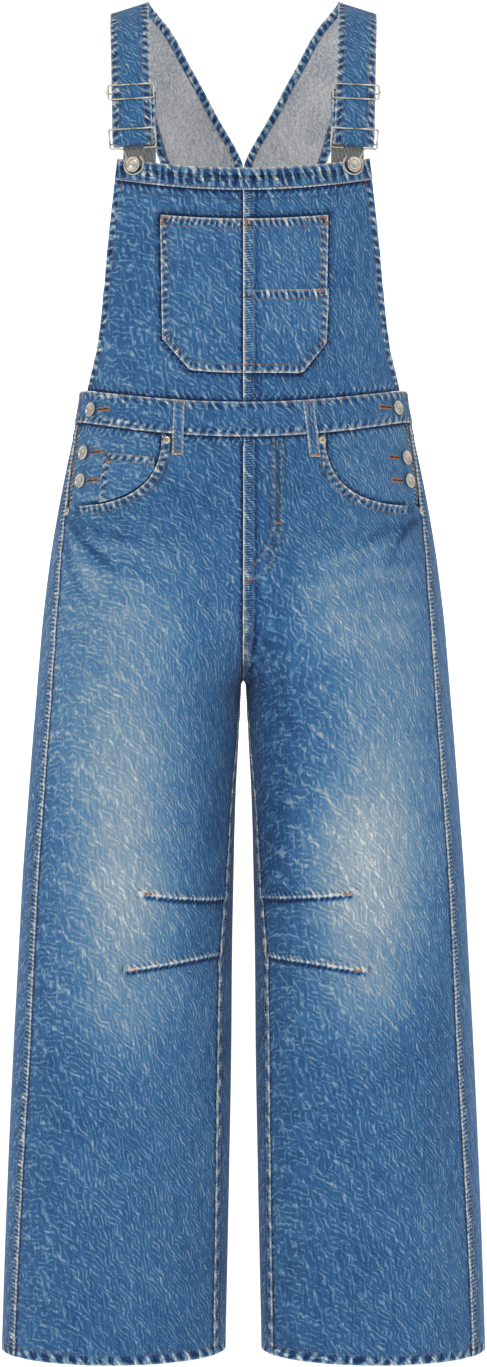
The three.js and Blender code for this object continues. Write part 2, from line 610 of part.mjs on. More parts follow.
function strapPoint(u, run, side) {
  const x = mix(strap.ox(run), strap.ix(run), u);
  const down = mix(strap.odown(run), strap.idown(run), u);
  let y = mix(strap.oy(run), strap.iy(run), u);
  if (run < SHOULDER_RUN) {
    const reach = Math.min(1, x / body.outer(down));
    const onBody = body.back(down) * Math.sqrt(1 - reach * reach);
    y = mix(y, onBody, ease(BACK_REST.from, BACK_REST.to, down));
  }
  return new THREE.Vector3(side * x, y, -down);
}

function backHalf(side) {
  const runs = [];
  strapTable.forEach((row, i) => {
    if (i > 0 && i < STRAP.length) runs.push((strapTable[i - 1].run + row.run) / 2);
    runs.push(row.run);
  });
  const thickness = (run) => mix(CLOTH, STRAP_CLOTH, ease(strapTable[NECK_ROW].run, SHOULDER_RUN, run));
  return sheetSolid({
    surface: (u, v) => strapPoint(u, v, side), across: steps(4), along: runs,
    inner: (u, v) => -thickness(v), outer: 0, side,
  });
}

function strapTail(side) {
  const depth = 2 * FOLD_RADIUS + 2 * LAYER_GAP;
  const front = STRAP.slice(-4);
  const edge = {};
  for (const column of ['ix', 'iy']) edge[column] = tableCurve(front, 'idown', column);
  for (const column of ['ox', 'oy']) edge[column] = tableCurve(front, 'odown', column);
  const surface = (u, v) => {
    const down = mix(TAIL.bottomDown, TAIL.topDown, v);
    const x = mix(TAIL.outerX, TAIL.innerX, u);
    const share = (x - edge.ix(down)) / (edge.ox(down) - edge.ix(down));
    const y = mix(edge.iy(down), edge.oy(down), share) + depth;
    return new THREE.Vector3(side * x, y, -down);
  };
  return sheetSolid({ surface, across: steps(2), along: steps(5), inner: 0, outer: CLOTH, side });
}

// Wire and metal

function toManifold(geometry) {
  const bare = geometry.clone();
  bare.deleteAttribute('normal');
  bare.deleteAttribute('uv');
  const merged = mergeVertices(bare, 1e-4);
  return new wasm.Manifold(new wasm.Mesh({
    numProp: 3,
    vertProperties: new Float32Array(merged.attributes.position.array),
    triVerts: new Uint32Array(merged.index.array),
  }));
}

function joined(geometries) {
  const [first, ...others] = geometries.map(toManifold);
  const mesh = others.reduce((whole, piece) => whole.add(piece), first).getMesh();
  const geometry = new THREE.BufferGeometry();
  geometry.setAttribute('position', new THREE.Float32BufferAttribute(mesh.vertProperties, 3));
  geometry.setIndex(Array.from(mesh.triVerts));
  return geometry;
}

// A path of straight runs with rounded bends.
function bentPath(points, bend) {
  const corners = points.map((point) => new THREE.Vector3(...point));
  const path = new THREE.CurvePath();
  let from = corners[0];
  corners.slice(1, -1).forEach((corner, i) => {
    const towards = (other) => (
      corner.clone().lerp(other, Math.min(0.5, bend / corner.distanceTo(other)))
    );
    const [start, end] = [towards(corners[i]), towards(corners[i + 2])];
    if (from.distanceTo(start) > 1e-6) path.add(new THREE.LineCurve3(from, start));
    path.add(new THREE.QuadraticBezierCurve3(start, corner, end));
    from = end;
  });
  path.add(new THREE.LineCurve3(from, corners.at(-1)));
  return path;
}

function wire(points, count, radius = WIRE) {
  const ring = new THREE.Shape(steps(WIRE_SIDES).slice(1).map((share) => new THREE.Vector2(
    radius * Math.cos(2 * Math.PI * share), radius * Math.sin(2 * Math.PI * share),
  )));
  const extrudePath = bentPath(points, WIRE_BEND);
  return new THREE.ExtrudeGeometry(ring, { steps: count, bevelEnabled: false, extrudePath });
}

// Places a mesh with its X across the strap, its Y up it and its Z outwards.
function placeOn(mesh, origin, acrossTo, upTo) {
  const up = upTo.clone().sub(origin).normalize();
  const out = acrossTo.clone().sub(origin).cross(up).normalize();
  const across = up.clone().cross(out);
  mesh.applyMatrix4(new THREE.Matrix4().makeBasis(across, up, out).setPosition(origin));
}

function runAtDown(down) {
  const rows = strapTable.slice(SHOULDER_ROW, STRAP.length);
  const middle = rows.map((row) => ({ down: (row.idown + row.odown) / 2, run: row.run }));
  return tableCurve(middle, 'down', 'run')(down);
}

// A point at the middle of the strap's face, with one towards +X and one further up.
function strapFrame(side, down) {
  const run = runAtDown(down);
  const origin = strapPoint(0.5, run, side);
  const acrossTo = strapPoint(side > 0 ? 0 : 1, run, side);
  return [origin, acrossTo, strapPoint(0.5, run - 4, side)];
}

function slideBuckle(name, side) {
  const { halfWidth: w, halfHeight: h } = SLIDE;
  const front = WIRE + METAL_GAP;
  const rear = -STRAP_CLOTH - WIRE - LAYER_GAP;
  const half = (sign) => wire([
    [-WIRE_JOIN * sign, h, front], [w * sign, h, front],
    [w * sign, -h, front], [-WIRE_JOIN * sign, -h, front],
  ], 16);
  const bar = wire([[-w, 0, front], [-w, 0, rear], [w, 0, rear], [w, 0, front]], 18, HOOK.lowerBar);
  const knobs = [-1, 1].map((sign) => new THREE.SphereGeometry(SLIDE.knob, 6, 4)
    .translate(sign * (w + SLIDE.knobShift), 0, front - SLIDE.knobShift));
  placeOn(addMesh(name, joined([half(1), half(-1), bar, ...knobs]), COLOURS.metal, true),
    ...strapFrame(side, SLIDE.down));
}

function hookBuckle(name, side) {
  const frame = strapFrame(side, HOOK.barDown);
  const mesh = addMesh(name, new THREE.BufferGeometry(), COLOURS.metal, true);
  placeOn(mesh, ...frame);
  mesh.updateMatrix();
  const toLocal = mesh.matrix.clone().invert();
  const local = (point) => point.clone().applyMatrix4(toLocal).toArray();
  // The ring lies in front of the bib's band, round the button, in the bib's own tilt.
  const lift = LAYER_GAP + CLOTH + LAYER_GAP + WIRE;
  const ringPoint = (x, up) => {
    const [origin, out] = bibButtonSeat(side, x, up);
    return local(origin.addScaledVector(out, lift));
  };
  const front = WIRE + METAL_GAP;
  const inFold = (u) => {
    const point = strapPoint(u, strapTable[STRAP.length - 1].run, side);
    point.y += FOLD_RADIUS;
    return local(point);
  };
  const [, foldY, foldZ] = inFold(0.5);
  const half = (sign) => {
    const ring = steps(6).map((share) => {
      const angle = mix(Math.asin(HOOK.neckRise / HOOK.ring), -Math.PI / 2 - HOOK.ringPast, share);
      return ringPoint(sign * HOOK.ring * Math.cos(angle), HOOK.ring * Math.sin(angle));
    });
    const w = HOOK.halfWidth;
    const foot = foldY - HOOK.footDrop;
    return wire([
      [-WIRE_JOIN * sign, 0, front], [w * sign, 0, front], [w * sign, -HOOK.sideDrop, front],
      [w * sign, foldY + HOOK.footRise, foldZ], [w * sign, foot, foldZ],
      [HOOK.shoulderX * sign, foot, foldZ], ...ring,
    ], 28);
  };
  const lowerBar = wire([inFold(-HOOK.barPast), inFold(0.5), inFold(1 + HOOK.barPast)], 2, HOOK.lowerBar);
  mesh.geometry = joined([half(1), half(-1), lowerBar]);
}

// A turned metal button on a short stem, with its seat at the origin and its face along +Z.
const BUTTON_PROFILE = [
  [0, 0], [2.6, 0], [2.6, 1.7], [7, 1.9], [7.6, 2.8], [7, 4], [5.8, 3.4], [1.6, 3.2], [0, 2.8],
];
const BIB_BUTTON_PROFILE = [
  [0, 0], [4.6, 0], [3.4, 0.9], [3.4, 2.6], [7.4, 2.8], [8.1, 3.7], [7.4, 4.9], [6.2, 4.3], [1.8, 4.1],
  [0, 3.7],
];
const RIVET_PROFILE = [[0, 0], [3.9, 0], [3.7, 0.8], [1.9, 1.2], [1.4, 2], [0, 2.1]];

function turned(name, profile, segments, seat, out) {
  const outline = profile.map(([radius, height]) => new THREE.Vector2(radius, height));
  const geometry = new THREE.LatheGeometry(outline, segments).rotateX(Math.PI / 2);
  const mesh = addMesh(name, geometry, COLOURS.metal, true);
  mesh.position.copy(seat);
  mesh.quaternion.setFromUnitVectors(new THREE.Vector3(0, 0, 1), out);
}

// A point of the front at x, and its outward normal.
function frontSeat(x, down) {
  const side = Math.sign(x);
  const turn = turnAtX(Math.abs(x), down);
  const point = bodyPoint(turn, down, side);
  const overTurn = bodyPoint(turn + 0.01, down, side).sub(bodyPoint(turn - 0.01, down, side));
  const overDown = bodyPoint(turn, down + 1, side).sub(bodyPoint(turn, down - 1, side));
  return [point, overTurn.cross(overDown).normalize().multiplyScalar(side)];
}

function bibButtonSeat(side, across = 0, up = 0) {
  return frontSeat(side * BIB_BUTTON.x + across, BIB_BUTTON.down - up);
}

function metalPieces() {
  const seatDepth = { band: BAND_CLOTH - CLOTH + LAYER_GAP, facing: LAYER_GAP - FACING.depth };
  for (const { name, x, down, on } of BUTTONS) {
    const [point, out] = frontSeat(x, down);
    turned(name, BUTTON_PROFILE, 12, point.addScaledVector(out, seatDepth[on]), out);
  }
  for (const { name, x, down } of RIVETS) {
    const [point, out] = frontSeat(x, down);
    turned(name, RIVET_PROFILE, 10, point.addScaledVector(out, METAL_GAP), out);
  }
  for (const { word, side } of SIDES) {
    const [point, out] = bibButtonSeat(side);
    point.addScaledVector(out, LAYER_GAP + CLOTH + LAYER_GAP);
    turned(`bib_button_${word}`, BIB_BUTTON_PROFILE, 14, point, out);
    slideBuckle(`slide_${word}`, side);
    hookBuckle(`hook_${word}`, side);
  }
}

for (const { word, side } of SIDES) {
  addMesh(`front_leg_${word}`, frontLeg(side), COLOURS.denim);
  addMesh(`back_leg_${word}`, backLeg(side), COLOURS.denim);
  addMesh(`hip_facing_${word}`, hipFacing(side), COLOURS.band);
  addMesh(`side_placket_${word}`, sidePlacket(side), COLOURS.denim);
  addMesh(`bib_${word}`, bibHalfPanel(side), COLOURS.denim);
  addMesh(`back_half_${word}`, backHalf(side), COLOURS.denim);
  addMesh(`strap_tail_${word}`, strapTail(side), COLOURS.wrongSide);
  const { topMiddle } = BIB_POCKET;
  const shape = BIB_POCKET[word];
  addMesh(`bib_pocket_${word}`, pocketPatch(shape, side, topMiddle, shape.topDown, PATCH_GAP),
    COLOURS.pocket);
}
const { lowerTopMiddle, lowerTopSide } = BIB_POCKET;
addMesh('bib_pocket_lower', pocketPatch(BIB_POCKET.left, 1, lowerTopMiddle, lowerTopSide,
  PATCH_GAP + CLOTH + LAYER_GAP), COLOURS.pocket);
addMesh('coin_pocket', coinPocket(), COLOURS.band);
addMesh('waistband_front', frontBand(), COLOURS.band);
addMesh('waistband_back', backBand(), COLOURS.band);
addMesh('bib_top_band', bibTopBand(), COLOURS.band);
for (const loop of LOOPS) addMesh(loop.name, beltLoop(loop), COLOURS.band);
metalPieces();

export default part;
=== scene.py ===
"""Denim dungarees, filled out as when they are worn: the looks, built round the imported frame.

Lengths are in millimetres until a mesh is made, where MM turns them into metres. +Z is up, the front
faces -Y and the wearer's left is +X. "down" is the distance below the shoulders.
"""
import math
import random

import bpy
import numpy as np
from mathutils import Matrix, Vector
from mathutils.bvhtree import BVHTree


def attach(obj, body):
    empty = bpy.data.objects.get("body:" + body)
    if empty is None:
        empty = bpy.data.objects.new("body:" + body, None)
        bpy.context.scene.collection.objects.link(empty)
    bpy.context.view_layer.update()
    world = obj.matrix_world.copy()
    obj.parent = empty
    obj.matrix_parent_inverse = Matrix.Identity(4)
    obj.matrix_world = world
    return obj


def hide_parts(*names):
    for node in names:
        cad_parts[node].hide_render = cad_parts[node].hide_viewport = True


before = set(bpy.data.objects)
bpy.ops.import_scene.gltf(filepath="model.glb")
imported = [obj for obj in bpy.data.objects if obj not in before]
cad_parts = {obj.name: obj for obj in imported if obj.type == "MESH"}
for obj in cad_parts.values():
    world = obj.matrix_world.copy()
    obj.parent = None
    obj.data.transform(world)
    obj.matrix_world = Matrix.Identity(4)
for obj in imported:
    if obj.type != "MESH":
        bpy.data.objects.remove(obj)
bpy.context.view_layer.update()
MM = 0.001
SIDES = (("left", 1), ("right", -1))


def rows(columns, *values):
    """A short table: one dict for each row, with the named columns."""
    return [dict(zip(columns.split(), row)) for row in values]


# Sizes, as in the part's source

CLOTH = 1.4
STRAP_CLOTH = 2
BAND_CLOTH = 3
SEAM_TRIM = 0.15
LAYER_GAP = 0.3
PATCH_GAP = 0.5
HEM_DOWN = 1405
HEM_HEIGHT = 13
CROTCH_DOWN = 704

BODY = rows(
    "down outer inner front back seam inseam",
    (120, 187, -187, 118, 113, 2, 0),
    (172, 185, -185, 118, 110, 2, 0),
    (273, 180, -180, 117, 106, 2, 0),
    (334, 176, -176, 115, 103, 2, 0),
    (404, 171, -171, 108, 102, 2, 0),
    (436, 176, -176, 110, 105, 3, 0),
    (484, 186, -186, 112, 110, 6, 0),
    (525, 194, -194, 115, 114, 10, 0),
    (578, 202.7, -120, 118, 118.5, 14, 0),
    (620, 208, -80, 118, 120.5, 17, 0),
    (650, 211.3, -50, 117, 119.5, 18, 0),
    (680, 213.8, -20, 115, 117, 19, 0),
    (697, 215.2, -5, 114, 114.8, 19, 0),
    (CROTCH_DOWN, 215.8, 0.3, 114, 113.8, 19, 0),
    (709, 216.2, 3, 113, 113, 19.5, 0),
    (736, 218.4, 4.2, 113, 110.5, 20, 1),
    (767, 221, 5.3, 112, 107.5, 20, 2),
    (830, 225.8, 8.4, 107, 100, 20, 4.5),
    (915, 232, 10.5, 101, 91, 20, 7.5),
    (1000, 236.5, 12, 97, 88, 20, 13),
    (1082, 241, 12.6, 94, 86, 21, 14),
    (1208, 246.8, 14.7, 89, 83, 19, 13),
    (1334, 251.5, 17.3, 84, 81, 17, 12),
    (HEM_DOWN, 253.6, 18.9, 82, 80, 16, 11.5),
)

# The largest folds: soft ridges, or troughs where rise is negative, along straight lines.
FOLDS = rows(
    "face x down to_x to_down reach rise",
    ("front", -174, 538, -140, 566, 9, 3),
    ("front", 178, 536, 158, 560, 9, 3),
    ("front", -28, 490, -24, 650, 22, -3),
    ("front", 30, 560, 16, 660, 16, -2.5),
    ("front", -99, 924, -14, 929, 6, 2),
    ("front", -99, 932, -14, 937, 6, -2),
    ("front", -114, 997, -14, 986, 6, 2),
    ("front", -114, 1005, -14, 994, 6, -2),
    ("front", 14, 929, 106, 923, 6, 2),
    ("front", 14, 937, 106, 931, 6, -2),
    ("front", 14, 986, 117, 998, 6, 2),
    ("front", 14, 994, 117, 1006, 6, -2),
    ("front", -165, 1060, -178, 1390, 30, 3),
    ("front", -70, 1120, -62, 1390, 34, -3),
    ("front", 172, 1090, 184, 1390, 32, 3),
    ("front", 84, 1060, 74, 1390, 30, -2.5),
    ("back", -40, 668, -150, 622, 17, -2.2),
    ("back", 36, 676, 140, 636, 16, -2),
    ("back", -60, 966, -190, 940, 14, -4),
    ("back", 54, 950, 180, 976, 15, -4),
    ("back", -150, 1040, -162, 1390, 34, 4),
    ("back", -66, 1100, -72, 1390, 30, -3.5),
    ("back", 140, 1080, 158, 1390, 32, -3.5),
    ("back", 70, 1040, 64, 1390, 34, 4),
)
FOLD_END = 26

BIB_TOP_MIDDLE, BIB_TOP_RISE, BIB_TOP_HALF, BIB_BAND_HEIGHT = 188, 16, 129, 22
BIB_EDGE = rows(
    "down half",
    (165, 128), (172, 128.5), (212, 134), (273, 140.7), (334, 147), (364, 152), (393, 159.6), (425, 170),
)
WAIST = {
    "front_top": 423, "front_top_rise": 19, "top_half": 165,
    "front_bottom": 458, "front_bottom_rise": 22, "bottom_half": 172,
    "side_top": 404, "back_top": 398, "side_bottom": 436, "back_bottom": 431,
}
BIB_POCKET = {
    -1: {"top_x": 84, "top_down": 233, "side_x": 82, "side_down": 358, "corner_x": 54, "corner_down": 390},
    1: {"top_x": 85.5, "top_down": 233, "side_x": 83.5, "side_down": 362, "corner_x": 59, "corner_down": 393},
}
POCKET_TOP_MIDDLE, POCKET_BOTTOM_MIDDLE, LOWER_TOP_MIDDLE, LOWER_TOP_SIDE = 239, 393.5, 311, 307.5
POCKET = {"centre_x": 168, "top_down": 453, "reach_x": 85, "reach_down": 72, "power": 2.45}
FACING = {"inner_x": 70, "bottom_down": 541, "depth": 1.9, "deeper": 1.3, "dip_from": 0.84, "dip_to": 0.95}
COIN = {"outer_x": 144, "outer_down": 470.5, "inner_x": 91, "inner_down": 478, "lean": 5, "edge_gap": 1.2,
        "depth": 0.2, "flattest": 0.3}
PLACKET = {"depth": 5.2, "behind": 8, "width": 32, "top_down": 408, "bottom_down": 612}

BUTTONS = rows(
    "name x down on",
    ("button_waist_right", -154.5, 426.1, "band"),
    ("button_waist_left", 156.3, 423.8, "band"),
    ("button_side_upper_right", -165, 469.5, "facing"),
    ("button_side_lower_right", -168, 498.7, "facing"),
    ("button_side_upper_left", 168.2, 474.6, "facing"),
    ("button_side_lower_left", 171.5, 498.6, "facing"),
)
RIVETS = rows(
    "name x down",
    ("rivet_upper_right", -77.6, 461),
    ("rivet_upper_left", 80, 461),
    ("rivet_lower_right", -181.4, 530.5),
    ("rivet_lower_left", 183, 529.5),
)
LOOPS = rows(
    "name face x to_x down to_down",
    ("belt_loop_front_right", "front", -64.4, -66.6, 421, 476),
    ("belt_loop_front_left", "front", 65, 72.4, 421, 478),
    ("belt_loop_back_right", "back", -96, -97, 400, 452),
    ("belt_loop_back_middle", "back", 0, 0, 398.5, 450),
    ("belt_loop_back_left", "back", 96, 97, 400, 452),
)
LOOP_WIDTH, LOOP_LEAVES, LOOP_RESTS = 11, 1, 12

# Edges of one back half, cut in one with its strap: i is the neck's side, o the armhole's.
STRAP = rows(
    "ix iy idown ox oy odown",
    (0.15, 102, 397.7, 162, 33, 403.3),
    (0.15, 102, 378, 146, 54, 382),
    (0.15, 103, 340, 122, 74, 340),
    (0.15, 105, 290, 100, 87, 290),
    (0.15, 108, 230, 84, 96, 230),
    (0.15, 109, 208, 78, 99, 208),
    (0.15, 110, 180, 80, 99, 180),
    (0.3, 112, 146, 90, 98, 146),
    (4, 111, 135, 94, 97, 135),
    (29.9, 94, 90, 106, 86, 93),
    (56.1, 74, 46, 118, 68, 54),
    (77.7, 44, 12, 128, 40, 23),
    (99, 0, -7, 139.6, 0, 6),
    (98.6, -38, 9, 138.4, -38, 19.5),
    (97.3, -62, 38, 137, -62, 46),
    (95.6, -78.5, 82.5, 135.4, -77.5, 87),
    (94.8, -82, 100, 135.1, -80.4, 104),
    (93.6, -87, 128, 134.4, -84.5, 131.5),
    (92.4, -90, 155, 133.7, -86.5, 158),
)
FOLD_RADIUS = 3.3
RETURN_SHIFT = 3.5
NECK_ROW, SHOULDER_ROW = 8, 12
BACK_REST = (60, 140)
TAIL = {"inner_x": 89.5, "outer_x": 123, "top_down": 102, "bottom_down": 178}

WIRE = 1
METAL_GAP = 0.4
SLIDE = {"down": 103.7, "half_width": 23.4, "half_height": 7.6, "knob": 1.8, "knob_shift": 0.6}
HOOK = {"bar_down": 142.5, "half_width": 23.6, "shoulder_x": 10.2, "neck_rise": 7, "ring": 9.7,
        "lower_bar": 0.85, "side_drop": 3, "foot_rise": 2, "foot_drop": 5.4, "bar_past": 0.07}
BIB_BUTTON_X, BIB_BUTTON_DOWN = 110.2, 180.8


# Curves and the body's form

def mix(start, end, share):
    return start + (end - start) * share


def ease(start, end, value):
    share = np.clip((value - start) / (end - start), 0, 1)
    return share * share * (3 - 2 * share)


def table_curve(table, along, column):
    """A smooth curve through one column of a table, with no overshoot between its rows."""
    at = np.array([row[along] for row in table], float)
    value = np.array([row[column] for row in table], float)
    width = np.diff(at)
    rise = np.diff(value) / width
    slope = np.concatenate([rise[:1], np.zeros(len(rise) - 1), rise[-1:]])
    product = rise[:-1] * rise[1:]
    keeps = product > 0
    slope[1:-1][keeps] = 2 * product[keeps] / (rise[:-1] + rise[1:])[keeps]

    def curve(position):
        here = np.clip(position, at[0], at[-1])
        i = np.clip(np.searchsorted(at, here, side="left") - 1, 0, len(width) - 1)
        t = (here - at[i]) / width[i]
        bend = t * (1 - t) * width[i]
        return (mix(value[i], value[i + 1], t * t * (3 - 2 * t))
                + bend * (slope[i] * (1 - t) - slope[i + 1] * t))
    return curve


body = {column: table_curve(BODY, "down", column) for column in list(BODY[0])[1:]}
bib_half = table_curve(BIB_EDGE, "down", "half")


def fold_rise(x, down, face):
    total = np.zeros(np.broadcast(x, down).shape)
    for fold in FOLDS:
        if fold["face"] != face:
            continue
        line_x, line_down = fold["to_x"] - fold["x"], fold["to_down"] - fold["down"]
        length = math.hypot(line_x, line_down)
        along = ((x - fold["x"]) * line_x + (down - fold["down"]) * line_down) / length
        beside = ((x - fold["x"]) * line_down - (down - fold["down"]) * line_x) / length
        fade = ease(-FOLD_END, FOLD_END, along) * ease(-FOLD_END, FOLD_END, length - along)
        total += fold["rise"] * fade * np.exp(-((beside / fold["reach"]) ** 2))
    return total


def body_point(turn, down, side):
    """turn is 0 at the outer end of the oval, pi at the inner end over the front, negative behind."""
    turn, down = np.broadcast_arrays(np.asarray(turn, float), np.asarray(down, float))
    outer, inner = body["outer"](down), body["inner"](down)
    half = (outer - inner) / 2
    sin, cos = np.sin(turn), np.cos(turn)
    front = sin > 0
    depth = np.where(front, body["front"](down), body["back"](down))
    x = (outer + inner) / 2 + half * cos
    flat_x, flat_y = cos / half, -sin / depth
    size = np.hypot(flat_x, flat_y)
    rise = np.where(front, fold_rise(side * x, down, "front"), fold_rise(side * x, down, "back"))
    rise = rise * ease(0.05, 0.3, np.abs(sin)) / size
    return np.stack([side * (x + flat_x * rise), -depth * sin + flat_y * rise, -down], -1)


def turn_at_x(x, down):
    outer, inner = body["outer"](down), body["inner"](down)
    return np.arccos(np.clip((2 * x - outer - inner) / (outer - inner), -1, 1))


def side_turn(down):
    return turn_at_x(body["outer"](down) - body["seam"](down), down)


def inner_turn(down, face):
    """Where the front and back panels end towards the centre seam or the inseam."""
    half = (body["outer"](down) - body["inner"](down)) / 2
    gap = SEAM_TRIM / body[face](down)
    seam = np.arccos(np.clip(1 - body["inseam"](down) / half, -1, 1))
    end = math.pi - seam - gap if face == "front" else math.pi + seam - gap
    return np.where(down > CROTCH_DOWN, end, np.minimum(turn_at_x(SEAM_TRIM, down), math.pi - gap))


def front_point(x, down):
    """A point of the front at signed x."""
    x = np.asarray(x, float)
    point = body_point(turn_at_x(np.abs(x), down), down, 1)
    side = np.where(x < 0, -1.0, 1.0)
    rise = fold_rise(x, np.asarray(down, float), "front") - fold_rise(np.abs(x), down, "front")
    point[..., 0] *= side
    point[..., 1] -= rise
    return point


def band_top(x):
    return WAIST["front_top"] - WAIST["front_top_rise"] * (x / WAIST["top_half"]) ** 2


def band_bottom(x):
    return WAIST["front_bottom"] - WAIST["front_bottom_rise"] * (x / WAIST["bottom_half"]) ** 2


def bib_top(x):
    return BIB_TOP_MIDDLE - BIB_TOP_RISE * (x / BIB_TOP_HALF) ** 2


def back_edge(middle, end, x):
    return mix(middle, end, np.clip(np.abs(x) / WAIST["bottom_half"], 0, 1))


# Surfaces of the cloth pieces: each takes u across and v along, both from 0 to 1

POCKET_START, POCKET_END = 1 / 13, 8 / 13  # shares of the front panel's top that lie on the pocket
BLEND_DOWN = 548  # below this the rows are level
EVEN_DOWN = 600
BLEND_SHARE = 0.1  # of v, above BLEND_DOWN


def panel_top(u):
    bottom = POCKET["top_down"] + POCKET["reach_down"]
    side_x = body["outer"](bottom) - body["seam"](bottom)
    angle = math.pi / 2 * (1 - np.clip((u - POCKET_START) / (POCKET_END - POCKET_START), 0, 1))
    power = 2 / POCKET["power"]
    curve_x = POCKET["centre_x"] - POCKET["reach_x"] * np.clip(np.cos(angle), 0, 1) ** power
    curve_down = POCKET["top_down"] + POCKET["reach_down"] * np.clip(np.sin(angle), 0, 1) ** power
    waist_x = mix(POCKET["centre_x"] - POCKET["reach_x"], SEAM_TRIM, (u - POCKET_END) / (1 - POCKET_END))
    x = np.where(u <= POCKET_START, mix(side_x, POCKET["centre_x"], u / POCKET_START),
                 np.where(u <= POCKET_END, curve_x, waist_x))
    down = np.where(u <= POCKET_START, bottom,
                    np.where(u <= POCKET_END, curve_down, band_bottom(waist_x) + LAYER_GAP))
    return x, down


def leg_down(top, v):
    blended = mix(top, BLEND_DOWN, v / BLEND_SHARE)
    return np.where(v < BLEND_SHARE, blended,
                    mix(BLEND_DOWN, HEM_DOWN, (v - BLEND_SHARE) / (1 - BLEND_SHARE)))


def share_at_down(down):
    return mix(BLEND_SHARE, 1, (down - BLEND_DOWN) / (HEM_DOWN - BLEND_DOWN))


def front_leg(side):
    def surface(u, v):
        top_x, top_down = panel_top(u)
        down = leg_down(top_down, v)

        def start(at):
            return side_turn(at) + SEAM_TRIM / body["front"](at)

        def span(at):
            return inner_turn(at, "front") - start(at)
        top_share = np.clip((turn_at_x(top_x, top_down) - start(top_down)) / span(top_down), 0, 1)
        share = mix(top_share, u, ease(top_down, EVEN_DOWN, down))
        return body_point(start(down) + span(down) * share, down, side)
    return surface


def back_leg(side):
    def surface(u, v):
        def turn(down):
            return mix(-inner_turn(down, "back"), side_turn(down) - SEAM_TRIM / body["front"](down), u)
        at = np.broadcast_to(float(WAIST["side_bottom"]), np.shape(u))
        top_x = body_point(turn(at), at, 1)[..., 0]
        top = back_edge(WAIST["back_bottom"], WAIST["side_bottom"], top_x) + LAYER_GAP
        down = leg_down(top, v)
        return body_point(turn(down), down, side)
    return surface


def opening_share(x, down):
    beside = np.maximum(0, (POCKET["centre_x"] - x) / POCKET["reach_x"])
    below = np.maximum(0, (down - POCKET["top_down"]) / POCKET["reach_down"])
    return (beside ** POCKET["power"] + below ** POCKET["power"]) ** (1 / POCKET["power"])


def hip_facing(side):
    def surface(u, v):
        def turn(down):
            start = side_turn(down) + SEAM_TRIM / body["front"](down)
            return mix(start, turn_at_x(FACING["inner_x"], down), u)
        at = np.broadcast_to(float(WAIST["side_bottom"]), np.shape(u))
        top_x = body_point(turn(at), at, 1)[..., 0]
        down = mix(band_bottom(top_x) + LAYER_GAP, FACING["bottom_down"], v)
        return body_point(turn(down), down, side)
    return surface


def facing_level(points):
    share = opening_share(np.abs(points[..., 0]), -points[..., 2])
    return -FACING["depth"] - FACING["deeper"] * ease(FACING["dip_from"], FACING["dip_to"], share)


def side_placket(side):
    def surface(u, v):
        down = mix(PLACKET["top_down"], PLACKET["bottom_down"], v)
        depth = body["front"](down)
        turn = side_turn(down) - PLACKET["behind"] / depth + u * PLACKET["width"] / depth
        return body_point(turn, down, side)
    return surface


def coin_pocket(u, v):
    top_x = mix(COIN["outer_x"], COIN["inner_x"], u)
    top = mix(COIN["outer_down"], COIN["inner_down"], u)
    beside = np.clip((POCKET["centre_x"] - top_x) / POCKET["reach_x"], 0, 1)
    height = (1 - beside ** POCKET["power"]) ** (1 / POCKET["power"])
    bottom = (POCKET["top_down"] + POCKET["reach_down"] * height
              - COIN["edge_gap"] / np.maximum(height, COIN["flattest"]))
    down = mix(top, bottom, v)
    x = top_x + COIN["lean"] * v * (1 - u)
    return body_point(turn_at_x(x, down), down, -1)


def band_surface(start, end, top_at, bottom_at):
    def surface(u, v):
        def turn(down):
            return mix(start(down), end(down), u)

        def x(down):
            return body["outer"](down) * np.cos(turn(down))
        top = top_at(x(top_at(x(WAIST["side_top"]))))
        bottom = bottom_at(x(bottom_at(x(WAIST["side_bottom"]))))
        down = mix(top, bottom, v)
        return body_point(turn(down), down, 1)
    return surface


def front_band_end(down):
    return side_turn(down) + SEAM_TRIM / body["front"](down)


def back_band_end(down):
    return side_turn(down) - SEAM_TRIM / body["front"](down)


front_band = band_surface(front_band_end, lambda down: math.pi - front_band_end(down), band_top, band_bottom)
back_band = band_surface(
    lambda down: -math.pi - back_band_end(down), back_band_end,
    lambda x: back_edge(WAIST["back_top"], WAIST["side_top"], x),
    lambda x: back_edge(WAIST["back_bottom"], WAIST["side_bottom"], x),
)


def belt_loop(loop):
    sign = 1 if loop["face"] == "front" else -1

    def surface(u, v):
        at = mix(loop["down"], loop["to_down"], v)
        here = mix(loop["x"], loop["to_x"], v) + sign * LOOP_WIDTH * (0.5 - u)
        return body_point(sign * turn_at_x(here, at), at, 1)
    return surface


def loop_level(loop):
    """Height of a loop's inner face above the panel: over the band, then down on the panel."""
    edge = (band_bottom(loop["to_x"]) if loop["face"] == "front"
            else back_edge(WAIST["back_bottom"], WAIST["side_bottom"], loop["to_x"]))

    def level(points):
        clear = 1 - ease(edge + LOOP_LEAVES, edge + LOOP_RESTS, -points[..., 2])
        return LAYER_GAP + (BAND_CLOTH - CLOTH) * clear
    return level


def bib_panel(side):
    def surface(u, v):
        def x(down):
            return mix(bib_half(down), SEAM_TRIM, u)
        top = bib_top(x(BIB_TOP_MIDDLE - BIB_TOP_RISE))
        bottom = band_top(x(band_top(x(WAIST["side_top"])))) - LAYER_GAP
        down = mix(top, bottom, v)
        return body_point(turn_at_x(x(down), down), down, side)
    return surface


def bib_top_band(u, v):
    half = bib_half(BIB_TOP_MIDDLE - BIB_TOP_RISE + v * BIB_BAND_HEIGHT) - LAYER_GAP
    x = mix(half, -half, u)
    down = bib_top(x) + v * BIB_BAND_HEIGHT
    return body_point(turn_at_x(x, down), down, 1)


